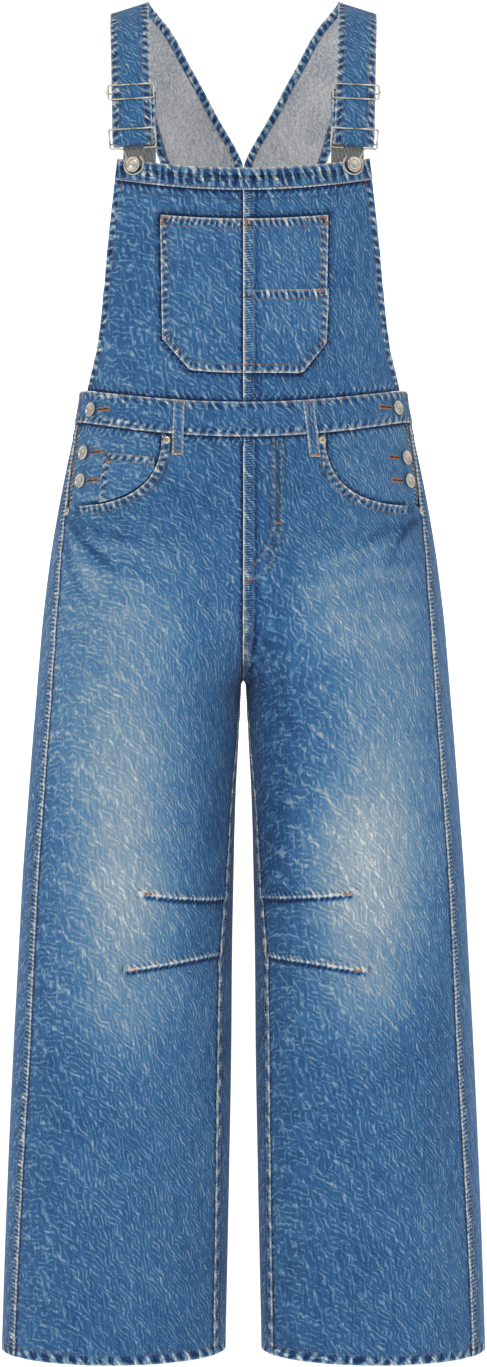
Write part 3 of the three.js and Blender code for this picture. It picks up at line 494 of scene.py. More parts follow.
def patch_bottom(shape, x):
    middle = mix(POCKET_BOTTOM_MIDDLE, shape["corner_down"], (x / shape["corner_x"]) ** 2)
    chamfer = np.clip((x - shape["corner_x"]) / (shape["side_x"] - shape["corner_x"]), 0, 1)
    return np.where(x < shape["corner_x"], middle, mix(shape["corner_down"], shape["side_down"], chamfer))


def pocket_patch(side, top_middle, top_side):
    shape = BIB_POCKET[side]

    def surface(u, v):
        share = 1 - u
        x = mix(SEAM_TRIM, mix(shape["top_x"], shape["side_x"], v), share)
        top = mix(top_middle, top_side, share * share)
        down = mix(top, patch_bottom(shape, x), v)
        return body_point(turn_at_x(x, down), down, side)
    return surface


def strap_rows():
    """The rows of STRAP, then the turn round the hook's lower bar and the layer that runs up behind."""
    made = [dict(row) for row in STRAP]
    last = made[-1]
    for angle in (45, 90, 135, 180):
        turn = math.radians(angle)
        back = FOLD_RADIUS * (1 - math.cos(turn))
        below, shift = FOLD_RADIUS * math.sin(turn), RETURN_SHIFT * angle / 360
        made.append({
            "ix": last["ix"] - shift, "iy": last["iy"] + back, "idown": last["idown"] + below,
            "ox": last["ox"] - shift, "oy": last["oy"] + back, "odown": last["odown"] + below,
        })
    for front in (STRAP[-2], STRAP[-3]):
        made.append({
            "ix": front["ix"] - RETURN_SHIFT, "iy": front["iy"] + 2 * FOLD_RADIUS, "idown": front["idown"],
            "ox": front["ox"] - RETURN_SHIFT, "oy": front["oy"] + 2 * FOLD_RADIUS, "odown": front["odown"],
        })
    made[0]["run"] = 0
    for before, row in zip(made, made[1:]):
        gaps = [(row["i" + c] + row["o" + c] - before["i" + c] - before["o" + c]) / 2
                for c in ("x", "y", "down")]
        row["run"] = before["run"] + math.hypot(*gaps)
    return made


strap_table = strap_rows()
strap = {column: table_curve(strap_table, "run", column) for column in STRAP[0]}
SHOULDER_RUN = strap_table[SHOULDER_ROW]["run"]
FOLD_RUN = strap_table[len(STRAP) - 1]["run"]
STRAP_RUN = strap_table[-1]["run"]


def strap_point(u, run, side):
    """u is 0 at the armhole's edge and 1 at the neck's. run is the distance from the waist."""
    u, run = np.broadcast_arrays(np.asarray(u, float), np.asarray(run, float))
    x = mix(strap["ox"](run), strap["ix"](run), u)
    down = mix(strap["odown"](run), strap["idown"](run), u)
    y = mix(strap["oy"](run), strap["iy"](run), u)
    reach = np.minimum(1, x / body["outer"](down))
    on_body = body["back"](down) * np.sqrt(1 - reach * reach)
    y = np.where(run < SHOULDER_RUN, mix(y, on_body, ease(*BACK_REST, down)), y)
    return np.stack([side * x, y, -down], -1)


def back_half(side):
    return lambda u, v: strap_point(u, v * STRAP_RUN, side)


def strap_tail(side):
    front = STRAP[-4:]
    edge = {c: table_curve(front, "idown" if c[0] == "i" else "odown", c) for c in ("ix", "iy", "ox", "oy")}
    depth = 2 * FOLD_RADIUS + 2 * LAYER_GAP

    def surface(u, v):
        down = mix(TAIL["bottom_down"], TAIL["top_down"], v)
        x = mix(TAIL["outer_x"], TAIL["inner_x"], u)
        share = (x - edge["ix"](down)) / (edge["ox"](down) - edge["ix"](down))
        y = mix(edge["iy"](down), edge["oy"](down), share) + depth
        return np.stack(np.broadcast_arrays(side * x, y, -down), -1)
    return surface


# Seam lines, and what they do to the cloth beside them

def run_along(line):
    return np.concatenate([[0], np.cumsum(np.linalg.norm(np.diff(line, axis=0), axis=1))])


NEAR = 40  # a line acts on points this close to it, at most
CHUNK = 3000


def nearest(points, line):
    """Each point's distance to a line of points, and how far along the line that is."""
    gap, place = np.full(len(points), 1e6), np.zeros(len(points))
    low, high = line.min(0) - NEAR, line.max(0) + NEAR
    chosen = np.flatnonzero(((points > low) & (points < high)).all(1))
    start, step = line[:-1], np.diff(line, axis=0)
    length = np.maximum(np.linalg.norm(step, axis=1), 1e-9)
    run = run_along(line)
    for first in range(0, len(chosen), CHUNK):
        index = chosen[first:first + CHUNK]
        toward = points[index][:, None] - start
        share = np.clip((toward * step).sum(2) / length ** 2, 0, 1)
        away = np.linalg.norm(toward - share[..., None] * step, axis=2)
        best = away.argmin(1)
        row = np.arange(len(index))
        gap[index] = away[row, best]
        place[index] = run[best] + share[row, best] * length[best]
    return gap, place


def ripple(place, pitch, seed):
    """An uneven wave along a seam, from -1 to 1."""
    waves = ((1.0, 0.9), (0.61, 2.1), (1.73, 4.2), (2.9, 5.7))
    total = sum(np.sin(2 * math.pi * place / (pitch * ratio) + phase * seed) for ratio, phase in waves)
    return total / 2.6


# shade sets how dark a painted shadow along the line is
LINE = {"width": 11, "pucker": 1.0, "pitch": 6, "lap": 0, "edge": 0.0, "shade": 0.0, "ripple": 0.35,
        "rows": (), "groove": 0.25, "spread": 1.5}


def line_effect(points, lines):
    """What the seam lines do at each point: relief of the cloth, extra height of laps, and the
    values that the material reads, among them a painted shadow beside laps and along some lines."""
    count = len(points)
    out = {key: np.zeros(count) for key in ("relief", "lap", "pucker", "pucker_u", "pucker_v", "edge", "shade")}
    for seed, (line, given) in enumerate(lines, 1):
        setting = {**LINE, **given}
        gap, place = nearest(points, line)
        width = setting["width"]
        mask = setting["pucker"] * (1 - ease(width * 0.55, width * setting["spread"], gap))
        wave = ripple(place, setting["pitch"] * 2.4, seed) * (1 - ease(width * 0.5, width * 2.2, gap))
        out["relief"] += setting["ripple"] * wave
        for row in setting["rows"]:
            out["relief"] -= setting["groove"] * np.exp(-(((gap - row) / 1.3) ** 2))
        if setting["lap"]:
            out["lap"] = np.maximum(out["lap"], setting["lap"] * (1 - ease(width - 0.5, width + 0.6, gap)))
            # A painted shadow just outside the lap's edge.
            out["shade"] = np.maximum(out["shade"], 0.6 * np.exp(-(((gap - width - 1) / 1.3) ** 2)))
        closer = mask > out["pucker"]
        out["pucker"] = np.where(closer, mask, out["pucker"])
        out["pucker_u"] = np.where(closer, place / setting["pitch"] + 37 * seed, out["pucker_u"])
        out["pucker_v"] = np.where(closer, gap / width, out["pucker_v"])
        out["edge"] = np.maximum(out["edge"], setting["edge"] * np.exp(-((gap / 1.7) ** 2)))
        out["shade"] = np.maximum(out["shade"], setting["shade"] * np.exp(-((gap / 2.5) ** 2)))
    return out


# Fading and painted shading: where the front of the cloth is paler from fading, and where it is darker from painted
# shadow, in x and down

FADES = rows(
    "x down reach_x reach_down lean amount",
    (-112, 740, 72, 150, 0, 0.17),
    (-136, 890, 58, 160, 0, 0.2),
    (-118, 985, 50, 110, 0, 0.12),
    (-88, 922, 56, 42, 0, 0.05),
    (140, 800, 62, 170, 0, 0.22),
    (120, 930, 58, 120, 0, 0.21),
    (122, 1030, 34, 70, 0, 0.07),
    (92, 900, 40, 60, 0, 0.05),
    (104, 640, 80, 66, 0, 0.08),
    (-120, 648, 70, 62, 0, 0.06),
    (-118, 566, 66, 30, 0, 0.02),
    (120, 562, 66, 30, 0, 0.03),
    (-176, 640, 22, 120, 0, 0.05),
    (0, 1040, 300, 26, 0, 0.02),
)
# Faded whiskers across the hips, and painted light and shadow on folds by the pockets' lower corners and the fly: the
# rows with negative amounts are painted shadow in fold valleys, and the light rows beside them are painted highlights
# on the fold ridges.
WHISKERS_AND_FOLD_SHADE = rows(
    "x down to_x to_down reach amount",
    (-172, 552, -66, 592, 8, 0.06),
    (-178, 588, -70, 630, 10, 0.07),
    (-170, 624, -64, 658, 12, 0.07),
    (-182, 536, -140, 588, 4, -0.26),
    (-176, 540, -110, 566, 5, -0.14),
    (-178, 548, -150, 616, 6, 0.1),
    (-184, 560, -158, 640, 4, -0.1),
    (60, 590, 172, 566, 9, 0.09),
    (52, 616, 178, 592, 11, 0.1),
    (60, 646, 180, 624, 12, 0.09),
    (72, 670, 176, 654, 12, 0.06),
    (182, 536, 150, 580, 4, -0.2),
    (178, 542, 120, 566, 5, -0.12),
    (12, 598, 26, 616, 3, 0.2),
    (10, 606, 24, 626, 3, -0.14),
    (14, 626, 26, 648, 3, 0.16),
)
# Painted shadow: darker ovals on the inner thighs, by the crotch and down the legs' outer sides, where shading falls.
SHADES = rows(
    "x down reach_x reach_down lean amount",
    (-30, 860, 26, 150, 0, 0.07),
    (32, 850, 30, 170, 0, 0.12),
    (20, 660, 24, 60, 0, 0.08),
    (-215, 900, 14, 300, 0.06, 0.04),
    (215, 900, 14, 300, -0.06, 0.04),
)


def wear_and_shade_at(points):
    """How much paler than new cloth each point is: 0 is new and 1 is fully faded white. Fades and hip whiskers are
    real fading; SHADES and the dark fold rows take away painted shadow, and the light fold rows add painted
    highlights.
    """
    x, down = points[:, 0], -points[:, 2]
    total = np.zeros(len(points))
    for table, sign in ((FADES, 1), (SHADES, -1)):
        for spot in table:
            across = (x - spot["x"] - spot["lean"] * (down - spot["down"])) / spot["reach_x"]
            along = (down - spot["down"]) / spot["reach_down"]
            total += sign * spot["amount"] * np.exp(-(across ** 2) - np.abs(along) ** 2.4)
    for fold in WHISKERS_AND_FOLD_SHADE:
        line_x, line_down = fold["to_x"] - fold["x"], fold["to_down"] - fold["down"]
        length = math.hypot(line_x, line_down)
        along = ((x - fold["x"]) * line_x + (down - fold["down"]) * line_down) / length
        beside = ((x - fold["x"]) * line_down - (down - fold["down"]) * line_x) / length
        beside = beside + 3 * np.sin(along / 17)
        fade = ease(-20, 20, along) * ease(-20, 20, length - along)
        total += fold["amount"] * fade * np.exp(-((beside / fold["reach"]) ** 2))
    front = ease(-10, 30, -points[:, 1])
    return total * mix(0.35, 1, front)


# Cloth pieces

EDGE_STEPS = (0, 0.6, 1.5, 2.7, 4.2, 6, 8, 9.6, 10.6, 12, 14.5)


def graded(low, high, step, fine_start=True, fine_end=True, count=None):
    """Places from low to high, closer together along its ends. low and high may be arrays."""
    low, high = np.asarray(low, float)[..., None], np.asarray(high, float)[..., None]
    start = np.array(EDGE_STEPS if fine_start else (0,), float)
    end = np.array(EDGE_STEPS if fine_end else (0,), float)[::-1]
    if count is None:
        count = max(2, int(round(float((high - low).mean() - start[-1] - end[0]) / step)))
    middle = mix(low + start[-1], high - end[0], np.linspace(0, 1, count + 1)[1:-1])
    return np.concatenate([low + start, middle, high - end], -1)


def spread_columns(surface, v, breaks, step, fine):
    """The u of each column in each row, with even spacing between the breaks."""
    dense = np.unique(np.concatenate([np.linspace(0, 1, 181), breaks]))
    points = surface(dense[None, :], v[:, None])
    run = np.concatenate([
        np.zeros((len(v), 1)), np.cumsum(np.linalg.norm(np.diff(points, axis=1), axis=2), axis=1)], 1)
    at = [run[:, np.searchsorted(dense, place)] for place in breaks]
    targets = []
    for i in range(len(breaks) - 1):
        first, last = i == 0, i == len(breaks) - 2
        places = graded(at[i], at[i + 1], step, fine and first, fine and last)
        targets.append(places if last else places[:, :-1])
    targets = np.concatenate(targets, 1)
    return np.array([np.interp(target, row, dense) for target, row in zip(targets, run)])


class Cloth:
    """A closed wall of cloth over a surface, with its seam lines pressed into it."""

    def __init__(self, name, node, surface, side=1, along=None, step=4.5, breaks=(0, 1), fine=True,
                 inner=-CLOTH, outer=0.0, lines=(), covered=None, hem_inside=0.0, tone=0.0,
                 materials=("denim_face", "denim_back")):
        self.name, self.side = name, side
        v = np.asarray(along, float)
        u = spread_columns(surface, v, breaks, step, fine)
        v = np.broadcast_to(v[:, None], u.shape)
        nudge = 3e-3
        over_u = surface(np.minimum(u + nudge, 1), v) - surface(np.maximum(u - nudge, 0), v)
        over_v = surface(u, np.minimum(v + nudge, 1)) - surface(u, np.maximum(v - nudge, 0))
        normal = np.cross(over_u, over_v) * side
        normal /= np.linalg.norm(normal, axis=2, keepdims=True)
        base = surface(u, v)
        self.base, self.normal, self.u = base, normal, u
        self.run_u = self.lengths(base, 1)
        self.run_v = self.lengths(base, 0)
        lines = [(where, setting) if isinstance(where, np.ndarray) else (self.line(*where), setting)
                 if isinstance(where, tuple) else (self.line(where), setting) for where, setting in lines]
        effect = line_effect(base.reshape(-1, 3), lines)
        shape = u.shape
        effect = {key: value.reshape(shape) for key, value in effect.items()}
        relief = effect["relief"]
        cover = 0 if covered is None else covered(base)
        relief = relief * (1 - cover)
        top = np.broadcast_to(outer(base) if callable(outer) else outer, shape).astype(float).copy()
        bottom = np.broadcast_to(inner(base) if callable(inner) else inner, shape).astype(float).copy()
        edge_gap = np.minimum(self.run_u, self.run_u[:, -1:] - self.run_u)
        if hem_inside:
            bottom -= hem_inside * (1 - ease(10.2, 11.4, edge_gap))
        top += effect["lap"] * (1 - cover)
        middle, half = (top + bottom) / 2, (top - bottom) / 2
        border = np.zeros(shape, bool)
        border[[0, -1], :] = True
        border[:, [0, -1]] = True
        half = np.where(border, half * 0.45, half)
        self.outer = base + normal * (middle + half + relief)[..., None]
        self.inner = base + normal * (middle - half + relief)[..., None]
        self.values = {**effect, "worn": wear_and_shade_at(base.reshape(-1, 3)).reshape(shape) + tone}
        self.edge_gap = edge_gap
        self.materials = materials
        self.hem_inside = hem_inside
        self.object = self.build(node)

    @staticmethod
    def lengths(points, axis):
        step = np.linalg.norm(np.diff(points, axis=axis), axis=2)
        start = np.zeros_like(points[:1, :, 0] if axis == 0 else points[:, :1, 0])
        return np.concatenate([start, np.cumsum(step, axis=axis)], axis)

    def line(self, where, low=0, high=HEM_DOWN):
        """One edge of the piece, between two heights: first or last column, top or bottom row."""
        edge = {"first": self.base[:, 0], "last": self.base[:, -1],
                "top": self.base[0], "bottom": self.base[-1]}[where]
        return edge[(-edge[:, 2] >= float(low)) & (-edge[:, 2] <= float(high) + 0.01)]

    def beside(self, where, gap, low=0, high=HEM_DOWN, face="outer"):
        """The line on one face that runs at a distance from an edge, between two heights, and its normals."""
        across = where in ("first", "last")
        run = self.run_u if across else self.run_v.T
        both = np.concatenate([getattr(self, face), self.normal * (1 if face == "outer" else -1)], -1)
        both = both if across else both.transpose(1, 0, 2)
        if where in ("last", "bottom"):
            run, both = run[:, -1:] - run[:, ::-1], both[:, ::-1]
        made = np.array([[np.interp(gap, r, p[:, axis]) for axis in range(6)] for r, p in zip(run, both)])
        return made[(-made[:, 2] >= low) & (-made[:, 2] <= high)]

    def build(self, node):
        high, wide = self.base.shape[:2]
        layer = high * wide
        grid = np.arange(layer).reshape(high, wide)
        a, b, c, d = grid[:-1, :-1], grid[:-1, 1:], grid[1:, 1:], grid[1:, :-1]
        front = np.stack([a, b, c, d], -1).reshape(-1, 4)
        back = np.stack([a, d, c, b], -1).reshape(-1, 4) + layer

        def rim(ring):
            return np.stack([ring[:-1], ring[:-1] + layer, ring[1:] + layer, ring[1:]], -1)
        rims = np.concatenate([
            rim(grid[0]), rim(grid[::-1, 0]), rim(grid[-1, ::-1]), rim(grid[:, -1])])
        faces = np.concatenate([front, rims, back])
        if self.side < 0:
            faces = faces[:, ::-1]
        points = np.concatenate([self.outer.reshape(-1, 3), self.inner.reshape(-1, 3)]) * MM
        mesh = bpy.data.meshes.new(self.name)
        mesh.from_pydata(points.tolist(), [], faces.tolist())
        inside = np.zeros(len(faces), int)
        edge_gap = self.edge_gap[:-1, :-1].reshape(-1)
        wrong = np.ones(len(back), bool)
        if self.hem_inside:
            wrong = edge_gap > 10.3
        inside[len(front) + len(rims):] = wrong
        mesh.polygons.foreach_set("material_index", inside.astype(np.int32))
        mesh.polygons.foreach_set("use_smooth", np.ones(len(faces), bool))
        corner = np.zeros(len(mesh.loops), np.int32)
        mesh.loops.foreach_get("vertex_index", corner)
        place = np.stack([self.run_u, self.run_v], -1).reshape(-1, 2) * MM
        place = np.concatenate([place, place])[corner]
        mesh.uv_layers.new(name="cloth").data.foreach_set("uv", place.ravel().astype(np.float32))
        for key, value in self.values.items():
            if key in ("relief", "lap"):
                continue
            both = np.concatenate([value.ravel(), value.ravel()]).astype(np.float32)
            mesh.attributes.new(key, "FLOAT", "POINT").data.foreach_set("value", both)
        for material in self.materials:
            mesh.materials.append(bpy.data.materials[material])
        mesh.update()
        made = bpy.data.objects.new(self.name, mesh)
        bpy.context.scene.collection.objects.link(made)
        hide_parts(node)
        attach(made, "root")
        self.tree = BVHTree.FromPolygons((self.outer.reshape(-1, 3)).tolist(), faces[:len(front)].tolist())
        return made

    def snap(self, point):
        """The nearest point of the outer face, and its normal."""
        place, normal, _, _ = self.tree.find_nearest(Vector(point))
        return np.array(place), np.array(normal)


# Materials

def srgb(red, green, blue):
    """An 8-bit screen colour as a linear one."""
    def linear(value):
        value /= 255
        return value / 12.92 if value <= 0.04045 else ((value + 0.055) / 1.055) ** 2.4
    return (linear(red), linear(green), linear(blue), 1)


class Nodes:
    """Short ways to write a node tree."""

    def __init__(self, name):
        self.material = bpy.data.materials.new(name)
        self.material.use_nodes = True
        self.tree = self.material.node_tree
        self.shader = self.tree.nodes["Principled BSDF"]

    def add(self, kind, inputs=(), **settings):
        made = self.tree.nodes.new("ShaderNode" + kind)
        for key, value in settings.items():
            setattr(made, key, value)
        for key, value in dict(inputs).items():
            self.put(made.inputs[key], value)
        return made

    def put(self, socket, value):
        if isinstance(value, bpy.types.NodeSocket):
            self.tree.links.new(value, socket)
        else:
            socket.default_value = value

    def calc(self, operation, *values, clamp=False):
        made = self.add("Math", operation=operation, use_clamp=clamp)
        for socket, value in zip(made.inputs, values):
            self.put(socket, value)
        return made.outputs[0]

    def between(self, value, low, high, to_low=0.0, to_high=1.0):
        """value taken from one range to another, softly and with no overshoot."""
        inputs = {"Value": value, "From Min": low, "From Max": high, "To Min": to_low, "To Max": to_high}
        return self.add("MapRange", inputs, interpolation_type="SMOOTHSTEP").outputs[0]

    def read(self, name):
        return self.add("Attribute", attribute_name=name).outputs["Fac"]

    def stretched(self, vector, scale, rotation=(0, 0, 0)):
        made = self.add("Mapping", {"Vector": vector, "Scale": scale, "Rotation": rotation})
        return made.outputs[0]

    def noise(self, vector, scale=1.0, detail=2.0, rough=0.5, kind="FBM", distortion=0.0):
        inputs = {"Vector": vector, "Scale": scale, "Detail": detail, "Roughness": rough,
                  "Distortion": distortion}
        return self.add("TexNoise", inputs, noise_type=kind).outputs[0]

    def ramp(self, value, stops):
        made = self.add("ValToRGB", {"Fac": value})
        elements = made.color_ramp.elements
        elements.remove(elements[1])
        elements[0].position, elements[0].color = stops[0]
        for place, colour in stops[1:]:
            elements.new(place).color = colour
        return made.outputs[0]

    def weave(self, thread):
        """Diagonal twill of that spacing in metres, from 0 to 1, on the cloth's own coordinates."""
        place = self.add("UVMap", uv_map="cloth").outputs[0]
        turned = self.stretched(place, (1, 1, 1), (0, 0, math.radians(63)))
        wave = self.add("TexWave", {"Vector": turned, "Scale": 0.05 / thread * 2, "Distortion": 0.6,
                                    "Detail": 1.0, "Detail Scale": 1.5}, bands_direction="X")
        return wave.outputs["Fac"]

    def bump(self, heights):
        """Stacks (height, metres for a height of 1) pairs into one normal for the shader."""
        normal = None
        for height, distance in heights:
            inputs = {"Height": height, "Distance": distance, "Strength": 1.0}
            if normal is not None:
                inputs["Normal"] = normal
            normal = self.add("Bump", inputs).outputs[0]
        self.put(self.shader.inputs["Normal"], normal)

    def crinkle(self, place, pitch, reach, wander, lean, seed, low=0.1, high=0.9):
        """Curly creases, washed pale: evenly spaced lines that wander. 1 on a line and 0 between."""
        moved = self.add("VectorMath", {0: place, 1: (seed, seed, seed)}, operation="ADD").outputs[0]
        turned = self.stretched(moved, (1, 1, 1), (0, math.radians(lean), 0))
        bend = self.noise(self.stretched(turned, (1 / reach, 1 / reach, 0.6 / reach)), 1.0, 1, 0.5)
        axes = self.add("SeparateXYZ", {"Vector": turned}).outputs
        across = self.calc("MULTIPLY_ADD", axes[1], 0.8, axes[0])
        phase = self.calc("MULTIPLY_ADD", across, 1 / pitch, self.calc("MULTIPLY", bend, wander))
        return self.between(self.calc("SINE", self.calc("MULTIPLY", phase, 2 * math.pi)), low, high)


INDIGO = (
    (0.0, srgb(12, 34, 72)), (0.2, srgb(28, 66, 112)), (0.4, srgb(54, 102, 148)), (0.55, srgb(86, 130, 166)),
    (0.7, srgb(132, 154, 171)), (0.85, srgb(168, 182, 190)), (1.0, srgb(218, 221, 220)),
)
DENIM_TONE = 0.4


def denim():
    n = Nodes("denim_face")
    place = n.add("TexCoord").outputs["Object"]
    turn = n.between(n.noise(place, 95, 1, 0.5), 0.46, 0.54)
    steep = n.calc("MULTIPLY", n.crinkle(place, 0.0043, 0.0072, 1.9, 12, 0.0), turn)
    flat = n.calc("MULTIPLY", n.crinkle(place, 0.0045, 0.008, 1.9, 52, 1.3), n.calc("SUBTRACT", 1.0, turn))
    fine = n.calc("ADD", steep, flat)
    broad = n.crinkle(place, 0.015, 0.016, 1.1, 36, 3.7, 0.8, 0.98)
    gaps = n.between(n.noise(place, 150, 2, 0.6), 0.38, 0.56, 0.3, 1.0)
    mottle = n.noise(place, 28, 3, 0.6)
    cloud = n.noise(place, 7, 2, 0.5)
    grain = n.noise(place, 620, 2, 0.7)
    slub = n.noise(n.stretched(place, (420, 420, 30)), 1, 2, 0.6)
    weave = n.weave(0.0016)
    worn, pucker, edge, shade = (n.read(key) for key in ("worn", "pucker", "edge", "shade"))
    along, beside = n.read("pucker_u"), n.read("pucker_v")
    slant = n.calc("MULTIPLY_ADD", beside, 0.4, along)
    uneven = n.noise(n.add("CombineXYZ", {"X": slant, "Y": n.calc("MULTIPLY", beside, 0.9)}).outputs[0],
                     0.9, 2, 0.6)
    beat = n.calc("SINE", n.calc("MULTIPLY", n.calc("MULTIPLY_ADD", uneven, 1.2, slant), 2 * math.pi))
    rungs = n.calc("MULTIPLY_ADD", beat, 0.34, n.calc("MULTIPLY_ADD", uneven, 0.6, 0.2))
    light_rung = n.between(rungs, 0.56, 0.76)
    dark_rung = n.between(rungs, 0.46, 0.28)
    inside = n.calc("MULTIPLY", pucker, n.between(beside, 0.0, 0.35, 0.35, 1.0))
    fine_line = n.calc("MULTIPLY", fine, gaps)
    broad_line = n.calc("MULTIPLY", broad, gaps)
    near_seam = n.calc("MULTIPLY_ADD", pucker, 1.2, 0.6)

    # paler where the cloth is faded, darker where painted shadow lies between the legs and in fold valleys
    tone = n.calc("ADD", worn, DENIM_TONE)
    tone = n.calc("MULTIPLY_ADD", n.calc("SUBTRACT", mottle, 0.5), 0.16, tone)
    tone = n.calc("MULTIPLY_ADD", n.calc("SUBTRACT", cloud, 0.5), 0.12, tone)
    contrast = n.between(worn, 0.0, 0.3, 0.27, 0.17)
    tone = n.calc("MULTIPLY_ADD", n.calc("SUBTRACT", fine_line, 0.32), contrast, tone)
    tone = n.calc("MULTIPLY_ADD", n.calc("MULTIPLY", broad_line, near_seam), 0.22, tone)
    tone = n.calc("MULTIPLY_ADD", n.calc("SUBTRACT", slub, 0.5), 0.3, tone)
    tone = n.calc("MULTIPLY_ADD", n.calc("SUBTRACT", grain, 0.5), 0.26, tone)
    tone = n.calc("MULTIPLY_ADD", n.calc("MULTIPLY", inside, light_rung), 0.29, tone)
    tone = n.calc("MULTIPLY_ADD", n.calc("MULTIPLY", inside, dark_rung), -0.27, tone)
    worn_edge = n.calc("MULTIPLY", edge, n.between(rungs, 0.3, 0.55, 0.75, 1.0))
    tone = n.calc("MULTIPLY_ADD", worn_edge, 0.56, tone)
    # Painted shadow: darker beside laps, under bands, round patches, along darts and under the pocket opening.
    tone = n.calc("MULTIPLY_ADD", shade, -0.6, tone, clamp=True)
    n.put(n.shader.inputs["Base Color"], n.ramp(tone, INDIGO))
    n.put(n.shader.inputs["Roughness"], n.between(mottle, 0.3, 0.7, 0.82, 0.94))
    n.shader.inputs["Sheen Weight"].default_value = 0.08
    n.shader.inputs["Sheen Roughness"].default_value = 0.6
    n.shader.inputs["Specular IOR Level"].default_value = 0.18
    creases = n.calc("MULTIPLY_ADD", n.calc("MULTIPLY", broad_line, near_seam), 0.9, fine_line)
    raised = n.calc("MULTIPLY", inside, n.between(rungs, 0.3, 0.7))
    n.bump(((creases, 0.0003), (raised, 0.0012), (weave, 0.00008), (slub, 0.0002)))
    return n


def wrong_side():
    """The pale inner face of the denim, with blue showing through its twill."""
    n = Nodes("denim_back")
    place = n.add("TexCoord").outputs["Object"]
    fine = n.crinkle(place, 0.005, 0.009, 3.4, 26, 5.1)
    grain = n.noise(place, 520, 3, 0.8)
    slub = n.noise(n.stretched(place, (500, 500, 90)), 1, 2, 0.7)
    cloud = n.noise(place, 22, 2, 0.5)
    tone = n.calc("MULTIPLY_ADD", slub, 0.4, n.calc("MULTIPLY", grain, 0.8))
    tone = n.calc("MULTIPLY_ADD", n.calc("SUBTRACT", fine, 0.3), 0.07, tone)
    tone = n.calc("MULTIPLY_ADD", n.calc("SUBTRACT", cloud, 0.5), 0.3, tone, clamp=True)
    colour = n.ramp(tone, ((0.34, srgb(104, 116, 138)), (0.52, srgb(164, 168, 175)), (0.76, srgb(212, 212, 212))))
    n.put(n.shader.inputs["Base Color"], colour)
    n.shader.inputs["Roughness"].default_value = 0.92
    n.shader.inputs["Specular IOR Level"].default_value = 0.15
    n.bump(((fine, 0.0003), (grain, 0.0002)))
    return n


def tail_cloth():
    """The straps' free ends, wrong side out: the wrong side's pale grey painted darker, a painted shadow for where
    they hang behind the buckle.
    """
    n = Nodes("tail_cloth")
    place = n.add("TexCoord").outputs["Object"]
    fine = n.crinkle(place, 0.0034, 0.009, 2.2, 10, 2.3)
    grain = n.noise(place, 700, 3, 0.75)
    tone = n.calc("MULTIPLY_ADD", fine, 0.16, grain, clamp=True)
    colour = n.ramp(tone, ((0.3, srgb(88, 90, 94)), (0.6, srgb(136, 136, 137)), (0.9, srgb(182, 180, 174))))
    n.put(n.shader.inputs["Base Color"], colour)
    n.shader.inputs["Roughness"].default_value = 0.92
    n.bump(((fine, 0.0002), (grain, 0.0002)))
    return n


def thread(name, dark, light):
    n = Nodes(name)
    place = n.add("TexCoord").outputs["Object"]
    patch = n.noise(place, 60, 2, 0.6)
    twist = n.noise(place, 1500, 1, 0.5)
    tone = n.calc("MULTIPLY_ADD", twist, 0.35, n.calc("MULTIPLY", patch, 0.75), clamp=True)
    n.put(n.shader.inputs["Base Color"], n.ramp(tone, ((0.3, dark), (0.75, light))))
    n.shader.inputs["Roughness"].default_value = 0.7
    n.shader.inputs["Sheen Weight"].default_value = 0.1
    n.bump(((twist, 0.0001),))
    return n


def metal(name, dark, light, rough):
    n = Nodes(name)
    place = n.add("TexCoord").outputs["Object"]
    patch = n.noise(place, 180, 3, 0.6)
    scratch = n.noise(n.stretched(place, (300, 300, 2600)), 1, 2, 0.6)
    n.put(n.shader.inputs["Base Color"], n.ramp(patch, ((0.3, dark), (0.7, light))))
    n.put(n.shader.inputs["Roughness"], n.between(patch, 0.3, 0.7, rough, rough + 0.16))
    n.shader.inputs["Metallic"].default_value = 1.0
    n.bump(((scratch, 0.00003), (patch, 0.00006)))
    return n


# Painted shadow: a near-black finish for the dark gap seen in each buttonhole's slit.
def slit_shadow_material():
    n = Nodes("recess")
    place = n.add("TexCoord").outputs["Object"]
    patch = n.noise(place, 900, 2, 0.5)
    n.put(n.shader.inputs["Base Color"], n.ramp(patch, ((0.3, srgb(24, 26, 30)), (0.7, srgb(52, 52, 54)))))
    n.shader.inputs["Roughness"].default_value = 0.8
    return n


def studio():
    n = Nodes("studio")
    place = n.add("TexCoord").outputs["Object"]
    patch = n.noise(place, 3, 2, 0.5)
    n.put(n.shader.inputs["Base Color"], n.ramp(patch, ((0.2, (0.86, 0.86, 0.86, 1)), (0.8, (0.9, 0.9, 0.9, 1)))))
    n.shader.inputs["Roughness"].default_value = 0.9
    n.shader.inputs["Specular IOR Level"].default_value = 0.0
    n.shader.inputs["Emission Color"].default_value = (1, 1, 1, 1)
    n.shader.inputs["Emission Strength"].default_value = 0.55
    return n


denim()
wrong_side()
tail_cloth()
thread("pale_thread", srgb(112, 104, 98), srgb(184, 176, 164))
thread("tan_thread", srgb(116, 76, 44), srgb(182, 132, 84))
thread("orange_thread", srgb(150, 92, 48), srgb(206, 144, 92))
metal("nickel", srgb(176, 168, 154), srgb(222, 216, 204), 0.26)
metal("copper", srgb(140, 98, 74), srgb(206, 168, 140), 0.3)
slit_shadow_material()
studio()


# Places of rows

BACK_ROW_STEP = 4.2
LEG_ROW_STEP = 3.9
DART_ZONES = ((912, 944), (978, 1012))
DART_STEP = 1.6


def along_piece(length, step, fine_start=True, fine_end=True):
    """Shares of v from 0 to 1 for a piece of about that length."""
    return graded(0, length, step, fine_start, fine_end) / length


